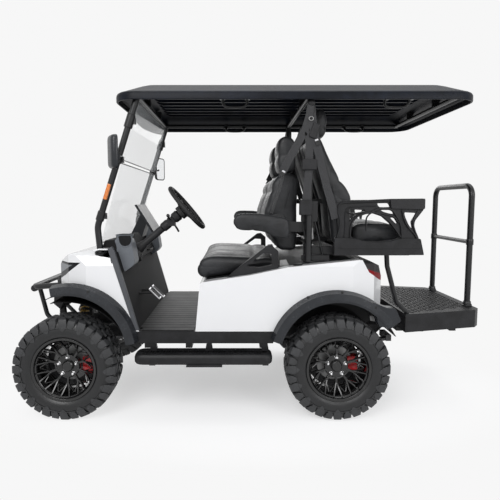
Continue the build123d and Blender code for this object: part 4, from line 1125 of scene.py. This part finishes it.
# %% Rims, discs and shields in place
for corner, (axle, side) in WHEELS.items():
    rims = Maker().joined(rim_maker)
    rims.turned(mm((42, 50), (42, 112), (50, 112), (50, 50)), (0, 0, 0), (0, 1, 0), 48, finish=1, caps=False)
    rims.turned(mm((2, 30), (2, 52), (46, 54), (50, 40)), (0, 0, 0), (0, 1, 0), 32, finish=1)
    rims.moved(at_wheel(axle, side)).make("mesh_rim_" + corner, [RIM_BLACK, DULL_STEEL], "rim_black", "wheel_" + corner,
        0.0014, 28, node="rim_" + corner)
    shield = Maker()
    shield.turned(mm((77.5, 58), (77.5, 155), (66, 160), (66, 163), (81, 163), (81, 58)), (0, 0, 0), (0, 1, 0), 48,
        caps=False)
    for rib in range(8):
        turn = math.radians(22.5 + 45 * rib)
        out, round_way = Vector((math.sin(turn), 0, math.cos(turn))), Vector((math.cos(turn), 0, -math.sin(turn)))
        shield.strap([out * 0.062 + Vector((0, 0.0765, 0)), out * 0.15 + Vector((0, 0.0765, 0))], 0.012, 0.004,
            round_way)
    carrier = "knuckle_" + ("left" if side < 0 else "right") if axle == "front" else "chassis"
    shield.moved(at_wheel(axle, side)).make("dust_shield_" + corner, [CAST_IRON], "cast", carrier, 0.001)

# %% [markdown]
# ## Roof
# The roof is one vacuum-formed tray: a straight lip all round, a long chamfer above it and a nearly flat top.
# One skin runs from the middle of the underside out, round the lip and back over the top, so it has a real thickness.

# %% Roof tray
ROOF_FRONT, ROOF_REAR = -0.825, 1.316
roof_middle, roof_half = (ROOF_FRONT + ROOF_REAR) / 2, (ROOF_REAR - ROOF_FRONT) / 2
tray = Maker()
ROOF_STATIONS = mm((300, 2029), (165, 2027), (140, 2018), (45, 1968), (18, 1959), (10, 1950), (9, 1916), (6, 1915),
    (1.5, 1915.5), (0, 1917.5), (0, 1950), (3.5, 1960), (11, 1967), (24, 1973), (110, 2019), (132, 2029), (160, 2035),
    (210, 2038), (300, 2039))
tray.skin([[(roof_middle + x, y, height) for x, y in loop(roof_half - inset, BODY_HALF - inset,
    max(0.13 - inset * 0.25, 0.05), 7)] for inset, height in ROOF_STATIONS])
for y in (-0.4, -0.3, -0.2, -0.1, 0.0, 0.1, 0.2, 0.3, 0.4):
    tray.prism([(ROOF_FRONT + 0.15, 2.03), (ROOF_FRONT + 0.2, 2.006), (ROOF_REAR - 0.2, 2.006),
        (ROOF_REAR - 0.15, 2.03)], "y", y - 0.009, y + 0.009)
tray.make("roof_tray", [ROOF_MOULDING], "roof_black", bevel=0.0015, sharp=24, node="roof")

# %% [markdown]
# ## Rear side frames
# This is the piece that takes the most skill. A moulded panel is pierced by an almond opening that frames the cushion,
# with smaller windows above it and behind it, and its bars cross over each other like bent branches.
# A filled 2D curve makes the pierced panel, and bars of their own thickness run over it.

# %% Pierced panel and its bars
PANEL = mm((484, 1302), (500, 1326), (576, 1331), (821, 1343), (1022, 1345), (1022, 1281), (1008, 1262), (970, 1212),
    (966, 1183), (992, 1107), (1003, 1104), (1026, 1006), (487, 1004), (488, 1112), (512, 1120), (505, 1221))
WINDOWS = (mm((580, 1129), (588, 1194), (624, 1235), (678, 1252), (715, 1256), (770, 1238), (820, 1194), (860, 1145),
    (880, 1112), (840, 1098), (753, 1088), (666, 1091), (600, 1107)),
    mm((571, 1281), (661, 1282), (672, 1270), (623, 1256), (592, 1229), (576, 1204), (568, 1254)),
    mm((738, 1316), (808, 1317), (820, 1294), (752, 1293)), mm((760, 1276), (823, 1276), (835, 1267), (843, 1252),
    (813, 1256), (780, 1265)), mm((819, 1231), (846, 1229), (865, 1198), (856, 1194), (833, 1216)),
    mm((903, 1262), (978, 1258), (948, 1207), (958, 1158), (935, 1183), (911, 1232)), )
print("windows in the panel", len(WINDOWS))

# %% Panel
PANEL_FACE, PANEL_PROUD = -0.556, -0.5735
side_panel = Maker()
side_panel.plate(rounded_off(PANEL, 0.012), [rounded_off(window, 0.008, 3) for window in WINDOWS], -0.56, -0.542)
lower = mm((487, 1004), (487, 1108), (556, 1110), (611, 1101), (677, 1086), (753, 1081), (829, 1088), (883, 1105),
    (1003, 1104), (1026, 1006))
side_panel.plate(rounded_off(lower, 0.006, 3), [], PANEL_PROUD, PANEL_FACE)
upper = mm((822, 1285), (815, 1340), (1022, 1344.5), (1022, 1281))
side_panel.plate(rounded_off(upper, 0.008, 3), [], PANEL_PROUD, PANEL_FACE)


# %% Bars across it
def bar(points, width, proud, radius=0.0):
    """Bar with a flat face along (x, z) points on the panel."""
    line = cut_corners([(x, PANEL_FACE - proud / 2, z) for x, z in points], 2)
    rings = []
    for i, centre in enumerate(line):
        way = (line[min(i + 1, len(line) - 1)] - line[max(i - 1, 0)]).normalized()
        across = way.cross(Vector((0, 1, 0))).normalized() * width / 2
        deep = Vector((0, proud / 2, 0))
        rings.append([centre + across + deep, centre - across + deep, centre - across * 0.55 - deep,
            centre + across * 0.55 - deep])
    side_panel.skin(rings)


bar(mm((580, 1110), (585, 1194), (622, 1242), (678, 1260), (715, 1263), (770, 1246), (822, 1202), (862, 1151),
    (890, 1108)), 0.013, 0.013)
bar(mm((700, 1258), (747, 1287), (823, 1285), (850, 1252), (884, 1194), (893, 1110)), 0.014, 0.017)
bar(mm((735, 1262), (797, 1250), (846, 1237), (872, 1200)), 0.012, 0.012)
bar(mm((679, 1150), (675, 1221), (690, 1248), (725, 1272), (752, 1290)), 0.01, 0.008)
bar(mm((560, 1262), (600, 1252), (650, 1262), (700, 1262)), 0.011, 0.011)
bar(mm((503, 1112), (516, 1160), (520, 1222), (500, 1275), (512, 1316), (560, 1322), (700, 1326), (815, 1330)), 0.01,
    0.016)
bar(mm((546, 1112), (552, 1180), (548, 1240), (556, 1290), (640, 1298), (735, 1300)), 0.007, 0.01)
bar(mm((890, 1275), (900, 1225), (925, 1175), (962, 1140), (985, 1106)), 0.012, 0.015)
bar(mm((985, 1272), (958, 1222), (960, 1172), (990, 1108)), 0.012, 0.012)
bar(mm((950, 1051), (987, 1102)), 0.006, 0.0185)
bar(mm((495, 1045), (750, 1043), (1012, 1045)), 0.004, 0.0185)
side_panel.mirrored().make("side_frames_ribbed", [GRAINED_PLASTIC], "black_plastic", bevel=0.0022, sharp=30,
    node="rear_side_frames")

# %% [markdown]
# ## Mirrors and side boards
# A mirror shell is a rounded block that narrows towards its back. A side board is a long tray with a fat rounded edge.

# %% Mirror shells
MIRROR_TURN = math.radians(32)
MIRROR_SPOTS = (("left", -1, (-0.805, -0.6745, 1.608)), ("right", 1, (-0.771, 0.6745, 1.6095)))
shells = Maker()
for hand, side, spot in MIRROR_SPOTS:
    shell = Maker()
    shell.skin([[(x, y, z) for y, z in loop(0.054 - inset, 0.095 - inset, 0.026 - inset * 0.4, 5)] for x,
        inset in mm((14.5, 6), (17, 4), (17, 1), (15.5, 0), (6, 0), (-6, 3), (-13.5, 10), (-16.5, 20), (-17, 35))])
    shell.moved(Matrix.Translation(spot) @ Matrix.Rotation(-side * MIRROR_TURN, 4, "Z"))
    shells.joined(shell)
    shells.tube([(-0.8, side * 0.56, 1.59), (-0.806, side * 0.61, 1.59), (spot[0], side * 0.65, 1.6)], 0.009, 12)
    shells.turned(mm((-6, 20), (10, 20), (14, 14)), (-0.801, side * 0.566, 1.59), (0, side, 0), 20)
shells.make("mirror_shells", [FLARE_PLASTIC], "black_plastic", sharp=40, node="mirrors")

# %% Side boards
tray_board = Maker()
board_mid_x, board_mid_y = -0.298, -0.6165
tray_board.skin([[(board_mid_x + x, board_mid_y + y, z) for x, y in loop(0.41 - inset, 0.0735 - inset, 0.045, 6)]
    for inset, z in mm((40, 392), (14, 366), (6, 370), (1, 380), (0, 392), (0, 408), (3, 419), (10, 426.5), (20, 428.5),
    (25, 424.5), (40, 424.5))])
tray_board.slab(-689.5, -600, (-400, 356), (-385, 372), (-200, 372), (-185, 356))
for x in (-0.606, -0.268, 0.073):
    tray_board.prism([(x - 0.024, 0.418), (x - 0.014, 0.476), (x + 0.014, 0.476), (x + 0.024, 0.418)], "y", -0.592,
        -0.56)
    tray_board.block((x - 0.018, -0.64, 0.348), (x + 0.018, -0.54, 0.368))
tray_board.mirrored().make("board_trays", [GRAINED_PLASTIC], "black_plastic", bevel=0.002, sharp=40, node="side_boards")

# %% [markdown]
# ## Dash and kick panel
# Two pods with cup openings stand at the dash's ends, and between them everything lies deeper; it is black plastic made
# nearly black as painted shade, and the cup wells and the side openings are near-black pieces of painted shade.
# The kick panel slopes from under them down to the floor.

# %% Dash mouldings
POD_SIDE = mm((-857, 1040), (-850, 1088), (-826, 1112), (-776, 1112), (-750, 1082), (-737, 1030), (-727, 955),
    (-742, 930), (-796, 892), (-842, 898))
well_rim = mm((0, 50), (0, 54.5), (-8, 54.5), (-16, 52), (-16, 41.5), (0, 41.5), (2, 46))
dash_parts = Maker()
for y_mid in (-0.452, 0.452):
    inner, outer = y_mid - 0.059, y_mid + 0.059
    dash_parts.prism(rounded_off(POD_SIDE, 0.012), "y", inner, outer)
    dash_parts.turned(well_rim, (-0.8, y_mid, 1.1225), (0, 0, 1), 40, caps=False, finish=0)
    # A shallow near-black cone fills each cup opening: painted shade standing in for the deep well.
    dash_parts.turned(mm((0, 41.5), (-9, 40.5)), (-0.8, y_mid, 1.1225), (0, 0, 1), 40, finish=1)
# A near-black plate on each pod's outer face: painted shade where the U opening is.
U_OPENING = mm((-826, 1108), (-818, 1118), (-750, 1118), (-744, 1090), (-758, 1062), (-786, 1052), (-814, 1064))
for side in (-1, 1):
    inset, edge = sorted((side * 0.5, side * 0.5125))
    dash_parts.prism(rounded_off(U_OPENING, 0.012), "y", inset, edge, 1)
    dash_parts.tube([(x, side * 0.512, z) for x, z in mm((-829, 1112), (-818, 1062), (-786, 1047), (-754, 1058),
        (-740, 1090), (-745, 1114))], 0.0035, 8)
# Dash board, kick panel and fascia between the pods: black plastic darkened further as painted shade, where they lie
# deeper.
dash_parts.slab(-520, 520, (-925, 1046), (-905, 1090), (-850, 1092), (-838, 1050), (-838, 1000), (-925, 1030), finish=1)
dash_parts.slab(-586, 586, (-845, 1020), (-828, 1020), (-745, 740), (-695, 550.5), (-712, 550.5), (-762, 730), finish=1)
dash_parts.slab(-400, -100, (-846, 995), (-800, 1000), (-770, 985), (-760, 935), (-800, 885), (-826, 880), finish=1)
dash_parts.slab(-100, 400, (-826, 990), (-790, 1000), (-770, 940), (-806, 910), finish=1)
dash_parts.make("dash_mouldings", [POD_PLASTIC, PAINTED_SHADE_BLACK], "black_plastic", bevel=0.003, sharp=35, node="dash")
shelf = Maker()
shelf.slab(-583, 583, (-960, 1038), (-925, 1046), (-852, 1046), (-852, 1036), (-925, 1036), (-960, 1028))
shelf.make("cowl_shelf", [WHITE_PAINT], "white_gloss", bevel=0.004)

# %% Inner wheel arches
inner = Maker()
# Each arch gets a liner and a flat sheet closing it inboard, both near black: painted shade inside the arch, so nothing
# shows through.
for axle, radius, first, last in (("front", 0.4, -13, 55), ("rear", 0.4, -62, 62)):
    arc = [(AXLE_X[axle] + radius * math.sin(math.radians(t)), AXLE_Z + radius * math.cos(math.radians(t)))
        for t in np.linspace(first, last, 18)]
    back = [(AXLE_X[axle] + (radius + 0.004) * math.sin(math.radians(t)),
        AXLE_Z + (radius + 0.004) * math.cos(math.radians(t))) for t in np.linspace(last, first, 18)]
    inner.prism(arc + back, "y", -0.578, -0.3)
    inner.prism(arc, "y", -0.304, -0.3)
inner.mirrored().make("inner_arches", [PAINTED_SHADE_BLACK], "black_plastic")

# %% Chassis rails
rails = Maker()
rails.slab(145, 195, (-1320, 390), (-1320, 470), (800, 470), (930, 585), (1380, 585), (1380, 522), (985, 522),
    (850, 390))
rails.mirrored().make("chassis_rails", [CHASSIS_BLACK], "black_steel", bevel=0.004, node="frame_rails")

# %% Flare tails
# The rear flare runs on behind the tyre as a short tail.
tails = Maker()
FLARE_TAIL = rounded_off(mm((742, 590), (705, 735), (786, 702), (838, 698), (873, 624), (816, 577)), 0.01)
tails.prism(FLARE_TAIL, "y", 0.585, 0.652)
tails.mirrored().make("flare_tails", [FLARE_PLASTIC], "black_plastic", bevel=0.006)

# %% [markdown]
# ## Front of the vehicle
# A strip of grey trim follows the rear edge of the front body, and clamps and orange markers sit on the posts.
# Bolts, brackets and a bumper beam fill the space behind the brush guard.
# Each is a short outline pushed sideways, because that is how such mouldings are drawn: as a side view with a width.

# %% Trim strips and fasteners
trim = Maker()
STRIP = mm((-868, 1048), (-842, 1060), (-826, 1030), (-690, 552), (-716, 552))
trim.prism(STRIP, "y", -BODY_HALF - 0.003, -BODY_HALF + 0.02)
trim.mirrored().make("cowl_strips", [TRIM_GREY], "black_plastic", bevel=0.003)

bolts = Maker()
for x, z in mm((-1075, 805), (-973, 800), (-800, 655), (320, 765), (520, 795), (720, 705)):
    bolts.turned(mm((-4, 9), (1, 9), (3, 6)), (x, -BODY_HALF - 0.0535, z), (0, -1, 0), 12)
bolts.mirrored().make("flare_bolts", [SOFT_RUBBER], "black_plastic", bevel=0.001)

# %% Post clamps, markers and feet
POST_Y = BODY_HALF - 0.052
POST_TOP = Vector((-0.682, 0, 1.95))
POST_BEND = Vector((-0.939, 0, 1.175))
post_way = (POST_TOP - POST_BEND).normalized()


def on_post(height, y=-POST_Y):
    """Point on the front post's centre line at a height."""
    share = (height - POST_BEND.z) / (POST_TOP.z - POST_BEND.z)
    place = POST_BEND.lerp(POST_TOP, share)
    return Vector((place.x, y, height))


clamps = Maker()
for height, half_length, radius in ((1.8, 0.041, 0.026), (1.575, 0.022, 0.0235), (1.24, 0.03, 0.0245)):
    clamps.turned([(-half_length, radius - 0.003), (-half_length + 0.004, radius), (half_length - 0.004, radius),
        (half_length, radius - 0.003)], on_post(height), post_way, 20)
    clamps.block(on_post(height) + Vector((0.012, -0.006, -0.018)), on_post(height) + Vector((0.036, 0.012, 0.018)))
clamps.turned(mm((-3, 34), (4, 34), (6, 30)), (-0.925, -POST_Y, 1.0195), (0, -0.45, 0.89), 20)
for bolt in range(4):
    turn = math.pi / 4 + bolt * math.pi / 2
    clamps.turned(mm((0, 5), (10, 5), (12, 3)), Vector((-0.925 + 0.026 * math.cos(turn),
        -POST_Y + 0.023 * math.sin(turn), 1.0195 + 0.0116 * math.sin(turn))), (0, -0.45, 0.89), 6)
clamps.turned(mm((-2, 30), (4, 30), (6, 26)), (0.272, -POST_Y, 0.944), (-0.09, 0, 1), 20)
clamps.mirrored().make("post_clamps", [BLACK_TUBE], "black_steel", bevel=0.001)

markers = Maker()
turned_way = Matrix.Rotation(math.atan2(post_way.x, post_way.z), 4, "Y")
markers.block((-0.011, -0.014, -0.048), (0.011, 0.006, 0.048))
markers.moved(Matrix.Translation(on_post(1.385, -POST_Y - 0.0195)) @ turned_way)
markers.mirrored().make("side_markers", [AMBER_LENS], "lamp", bevel=0.004)

# %% Windscreen trim
screen_trim = Maker()
bow = [(-0.7 - 0.075 * (1 - (y / 0.52) ** 2), y, 1.902 - 0.018 * (1 - (y / 0.52) ** 2))
    for y in np.linspace(-0.52, 0.52, 17)]
screen_trim.strap(bow, 0.05, 0.004, (0.33, 0, 0.94))
for low, high, shift in (((-0.9275, 1.076), (-0.7925, 1.556), 0.0), ((-0.7855, 1.576), (-0.69, 1.918), 0.0)):
    for (x, z) in (low, high):
        screen_trim.tube([(x, -0.526, z), (x, 0.526, z)], 0.0035, 8, smooth=False)
screen_trim.make("windscreen_trim", [GRAINED_PLASTIC], "black_plastic")

# %% Mirror glass
for hand, side, spot in MIRROR_SPOTS:
    glass = Maker()
    glass.skin([[(x, y, z) for y, z in loop(0.046, 0.087, 0.02, 5)] for x in (0.014, 0.0162)])
    glass.moved(Matrix.Translation(spot) @ Matrix.Rotation(-side * MIRROR_TURN, 4, "Z"))
    glass.make("mirror_glass_" + hand, [MIRROR_FACE], "steel", bevel=0.001)

# %% Bumper beam and its brackets
beam = Maker()
beam.slab(-285, 285, (-1332, 640), (-1324, 762), (-1276, 770), (-1262, 650), (-1285, 600))
for y in (-0.225, 0.195):
    beam.prism(mm((-1318, 460), (-1318, 660), (-1285, 660), (-1262, 460)), "y", y, y + 0.03)
beam.make("bumper_beam", [GRAINED_PLASTIC], "black_plastic", bevel=0.006)
guard_feet = Maker()
for y in (-0.29, 0.29):
    guard_feet.turned(mm((-4, 32), (10, 32), (13, 26)), (-1.27, y, 0.787), (-0.9, 0, -0.4), 20)
for y in (-0.262, 0.262):
    guard_feet.turned(mm((-34, 20.5), (-30, 22.5), (30, 22.5), (34, 20.5)), (-1.472, y * 0.86, 0.742), (0, 1, 0), 20)
guard_feet.make("guard_collars", [BLACK_TUBE], "black_steel", bevel=0.001)

# %% [markdown]
# ## Column and pedals
# The steering column carries a collar and two stalks, and the pedals are bright frames round rubber pads.

# %% Dash controls
controls = Maker()
for y in (-0.345, -0.305, -0.225, -0.185, -0.145):
    controls.prism(mm((-772, 985), (-764, 983), (-757, 955), (-765, 955)), "y", y - 0.012, y + 0.012)
controls.turned(mm((0, 18), (12, 18), (14, 14)), (-0.77, -0.325, 0.935), (1, 0, 0.05), 20)
controls.turned(mm((0, 12), (24, 12), (26, 9)), (-0.77, -0.225, 0.935), (1, 0, 0.05), 16)
controls.tube(mm((-775, 130, 965), (-758, 150, 965), (-758, 270, 965), (-775, 290, 965)), 0.006, 8)
controls.make("dash_controls", [SOFT_RUBBER], "black_plastic", bevel=0.002)

# %% Column and stalks
STEER_CENTRE = Vector((-0.43, -0.265, 1.287))
column_way = Vector((math.cos(STEER_ANGLE), 0, math.sin(STEER_ANGLE)))
column = Maker()
column.turned(mm((-425, 37), (-405, 36), (-395, 30), (-380, 30), (-370, 24), (-215, 24), (-205, 31), (-165, 32),
    (-150, 26), (-50, 25)), STEER_CENTRE, column_way, 24)
column.turned(mm((-120, 26), (-110, 35), (-75, 37), (-66, 30)), STEER_CENTRE, column_way, 24)
stalk = STEER_CENTRE - column_way * 0.135
column.tube([stalk, stalk + Vector((-0.01, -0.05, 0.02)), stalk + Vector((-0.005, -0.115, 0.035))], 0.0065, 10)
column.tube([stalk, stalk + Vector((0.03, 0.02, -0.045)), stalk + Vector((0.045, 0.025, -0.075))], 0.007, 10)
column.turned(mm((0, 8), (4, 11), (24, 11), (28, 8)), stalk + Vector((-0.005, -0.105, 0.034)), (0.04, -1, 0.2), 14)
column.block(stalk + Vector((-0.026, -0.03, -0.034)), stalk + Vector((0.026, 0.03, 0.02)))
column.make("column_stalks", [GRAINED_PLASTIC], "black_plastic", bevel=0.002, node="steering_column")

# %% Steering wheel grip
hub = Maker()
wheel_turn = Matrix.Translation(STEER_CENTRE) @ column_way.to_track_quat("Z", "Y").to_matrix().to_4x4()
hub.turned(mm((-36, 50), (-28, 58), (-12, 56), (-4, 42), (-1, 16)), (0, 0, 0), (0, 0, 1), 32)
for spoke in (30, 150, 270):
    way = math.radians(spoke)
    hub.strap([(0.045 * math.cos(way), 0.045 * math.sin(way), -0.022),
        (0.1 * math.cos(way), 0.1 * math.sin(way), -0.018), (0.154 * math.cos(way), 0.154 * math.sin(way), -0.005)],
        0.036, 0.008, (-math.sin(way), math.cos(way), 0))
hub.moved(wheel_turn).make("steering_hub", [GRAINED_PLASTIC], "black_plastic", "steering_wheel", bevel=0.002)

# %% Pedals
pedal_set = Maker()
for middle_y, wide, reach in ((-0.332, 0.058, 0.098), (-0.235, 0.052, 0.112)):
    low_x, low_z = -0.672, 0.752
    way = Vector((0.72, 0, -0.69)).normalized()
    up = Vector((0.69, 0, 0.72)).normalized()
    start = Vector((low_x, middle_y, low_z)) - way * 0.006

    def pad_ring(inset, lift):
        return [start + way * (a + s * inset) + Vector((0, b * (wide / 2 - inset), 0)) + up * lift for a, b,
            s in ((0, -1, 1), (0, 1, 1), (reach, 1, -1), (reach, -1, -1))]

    pedal_set.skin([pad_ring(0, 0), pad_ring(0, 0.007)], finish=0)
    pedal_set.skin([pad_ring(0.008, 0.006), pad_ring(0.008, 0.0095)], finish=1)
    pedal_set.tube([start + way * 0.04, start + way * 0.01 - up * 0.03, (-0.765, middle_y, 0.725)], 0.008, 10, finish=1)
pedal_set.make("pedal_pads", [BRIGHT_STEEL, SOFT_RUBBER], "black_plastic", bevel=0.001, node="pedals")

# %% [markdown]
# ## Side boards, rear step and grab bar
# The side boards carry rows of raised studs.
# The rear step has a herringbone tread: short bars laid at right angles to each other, so a shoe grips whichever way
# it points. Both treads are real geometry, since they are seen at a flat angle where a bump would look painted on.

# %% Side board tread
BOARD_TOP = 0.4245
boards = Maker()
for i in range(44):
    for j in range(4):
        x = -0.652 + 0.0165 * i
        y = -BODY_HALF + 0.012 - 0.0245 * j + (0.0 if i % 2 else 0.012)
        boards.prism([(x - 0.005, y), (x, y - 0.006), (x + 0.005, y), (x, y + 0.006)], "z", BOARD_TOP - 0.001,
            BOARD_TOP + 0.0038)
boards.mirrored().make("board_studs", [GRAINED_PLASTIC], "black_plastic")

# %% Rear step tread
STEP_TOP = 0.625
step_low, step_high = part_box("rear_step")
tread = Maker()
PITCH = 0.03
for i in range(int((step_high.x - step_low.x - 0.05) / PITCH)):
    x = step_low.x + 0.03 + PITCH * i
    reach = step_high.y - 0.03 - 0.2 * max(0.0, (x - step_low.x) / (step_high.x - step_low.x))
    for j in range(int(-reach / PITCH), int(reach / PITCH) + 1):
        y = PITCH * j
        lean = 1 if (i + j) % 2 else -1
        a, b = Vector((0.0095, lean * 0.0095)), Vector((0.0024, -lean * 0.0024))
        tread.prism([(x - a.x - b.x, y - a.y - b.y), (x + a.x - b.x, y + a.y - b.y), (x + a.x + b.x, y + a.y + b.y),
            (x - a.x + b.x, y - a.y + b.y)], "z", STEP_TOP - 0.001, STEP_TOP + 0.0028)
tread.make("step_tread", [GRAINED_PLASTIC], "black_plastic")
grab_low, grab_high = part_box("grab_bar")
feet = Maker()
for y in (grab_low.y + 0.019, grab_high.y - 0.019):
    x = (grab_low.x + grab_high.x) / 2
    feet.turned(mm((0, 31.5), (6, 31.5), (9, 29), (10, 26), (30, 24), (34, 21)), (x, y, STEP_TOP), (0, 0, 1), 28)
    for bolt in range(4):
        turn = math.pi / 4 + bolt * math.pi / 2
        feet.turned(mm((0, 5), (11, 5), (13, 3)), (x + 0.0255 * math.cos(turn), y + 0.0255 * math.sin(turn),
            STEP_TOP + 0.004), (0, 0, 1), 6)
    feet.turned(mm((-20, 21.5), (-17, 23), (17, 23), (20, 21.5)), (x, y, 1.058), (0, 0, 1), 24)
feet.make("grab_bar_feet", [BLACK_TUBE], "black_steel", bevel=0.001)

# %% Roof handles
handles = Maker()
for x in (-0.11, 0.865):
    handles.tube([(x - 0.075, -0.512, 1.945), (x - 0.072, -0.475, 1.912), (x - 0.05, -0.462, 1.9),
        (x + 0.05, -0.462, 1.9), (x + 0.072, -0.475, 1.912), (x + 0.075, -0.512, 1.945)], 0.0085, 12)
    for end in (-0.075, 0.075):
        handles.block((x + end - 0.016, -0.53, 1.93), (x + end + 0.016, -0.5, 1.968))
handles.mirrored().make("roof_handles", [BLACK_TUBE], "black_steel", bevel=0.003)

# %% Small brackets on the body
tabs = Maker()
tabs.slab(-512, -506, (165, 930), (165, 968), (205, 972), (222, 936))
tabs.slab(-512, -500, (326, 1159), (335, 1170), (366, 1165), (372, 1100), (345, 1085))
tabs.slab(-520, -512, (726, 622), (788, 612), (790, 580), (730, 590))
tabs.mirrored().make("seat_brackets", [DULL_STEEL], "steel", bevel=0.0015)
stays = Maker()
stays.tube(mm((302, -498, 1215), (341, -498, 998)), 0.0055, 10, smooth=False)
stays.tube(mm((372, -498, 1235), (432, -498, 998)), 0.0065, 10, smooth=False)
stays.block((0.296, -0.522, 1.205), (0.392, -0.484, 1.33))
stays.block((0.3, -0.512, 0.966), (0.47, -0.486, 0.998))
stays.mirrored().make("seat_stays", [BLACK_TUBE], "black_steel", bevel=0.002)

# %% [markdown]
# ## Seat belts
# Webbing is flat, about 48 mm wide and 1.5 mm thick, and hangs from a shoulder anchor to a tongue and on to a reel.
# It is modelled directly as a band along a few points: a cloth simulation would only blur its crisp edges.

# %% Webbing
belts = Maker()
WEB, THICK, BELT_Y = 0.046, 0.0022, -0.577


def belt(points, lean=(1, 0, 0)):
    belts.strap([(x, y, z) for x, y, z in points], WEB, THICK, lean)


belt([(0.338, -0.53, 1.925), (0.336, -0.56, 1.905), (0.326, BELT_Y, 1.83), (0.302, BELT_Y, 1.748),
    (0.254, BELT_Y, 1.658), (0.208, BELT_Y + 0.004, 1.572), (0.172, -0.56, 1.5)], (0.85, 0, -0.5))
belt(mm((172, -566, 1480), (155, -560, 1400), (128, -545, 1320), (112, -520, 1255)), (0.45, 0.9, -0.1))
belt([(0.322, BELT_Y, 1.74), (0.327, BELT_Y, 1.65), (0.328, -0.574, 1.56)])
belt(mm((328, -574, 1520), (320, -572, 1430), (313, -566, 1330), (314, -540, 1250)))
belt([(0.34, -0.545, 1.9), (0.345, BELT_Y, 1.79), (0.366, BELT_Y, 1.68), (0.391, BELT_Y + 0.002, 1.57),
    (0.436, -0.572, 1.41), (0.474, -0.566, 1.29), (0.492, -0.56, 1.225)], (0.95, 0, 0.3))
belts.mirrored().make("seat_belts", [BELT_WEBBING], "black_plastic")

# %% Reels, anchors and tongues
reels = Maker()
reels.block((0.286, -0.59, 1.512), (0.372, -0.545, 1.575))
reels.block((0.276, -0.578, 1.245), (0.35, -0.535, 1.335))
reels.slab(-588, -569, (322, 1705), (352, 1792), (384, 1775), (362, 1690))
reels.turned(mm((-10, 22), (6, 22), (10, 15)), (0.338, -0.56, 1.905), (0, -1, 0), 20)
reels.mirrored().make("belt_boxes", [GRAINED_PLASTIC], "black_plastic", bevel=0.006)
tongues = Maker()
for place, lean in (((0.172, -0.5795, 1.494), 0.55), ((0.372, -0.5795, 1.676), -0.35)):
    plate = Maker()
    plate.slab(-4, 3, (-13, -22), (13, -22), (13, 6), (-13, 6), finish=1)
    plate.slab(-2, 2, (-11, 4), (11, 4), (9, 16), (-9, 16))
    plate.moved(Matrix.Translation(place) @ Matrix.Rotation(lean, 4, "Y"))
    tongues.joined(plate)
tongues.mirrored().make("belt_tongues", [BRIGHT_STEEL, SOFT_RUBBER], "steel", bevel=0.0008)
rings = Maker()
rings.tube([(0.334 + 0.013 * math.cos(t), -0.586, 1.808 + 0.011 * math.sin(t))
    for t in np.linspace(0, 2 * math.pi, 14, endpoint=False)], 0.003, 8, closed=True)
rings.mirrored().make("belt_rings", [DULL_STEEL], "steel")

# %% [markdown]
# ## Springs
# Behind the front wheels a coil spring shows gold through the arch. A coil is one round bar wound on a helix,
# so it is a tube along points on that helix, over a damper body and a bright rod.

# %% Coil-over dampers
coils = Maker()
FOOT, HEAD = Vector((-1.14, -0.322, 0.44)), Vector((-1.14, -0.214, 0.632))
spring_way = (HEAD - FOOT).normalized()
side = spring_way.orthogonal().normalized()
other = spring_way.cross(side)
TURNS, WIRE, COIL = 6, 0.0055, 0.0265
span = (HEAD - FOOT).length
helix = []
for step in range(TURNS * 14 + 1):
    turn = 2 * math.pi * step / 14
    helix.append(FOOT + spring_way * (span * (0.1 + 0.8 * step / (TURNS * 14)))
        + (side * math.cos(turn) + other * math.sin(turn)) * COIL)
coils.tube(helix, WIRE, 8, smooth=False)
coils.turned([(0.0, 0.014), (span * 0.55, 0.014), (span * 0.56, 0.007), (span, 0.007)], FOOT, spring_way, 20, finish=1)
coils.turned([(span * 0.05, 0.031), (span * 0.09, 0.031)], FOOT, spring_way, 24, finish=1)
coils.turned([(span * 0.91, 0.03), (span * 0.96, 0.03)], FOOT, spring_way, 24, finish=1)
coils.mirrored().make("coil_springs", [SPRING_GOLD, CAST_IRON], "spring_gold", node="dampers")

# %% Finish
low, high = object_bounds()
print("visual box", [round(v, 3) for v in (*low, *high)])
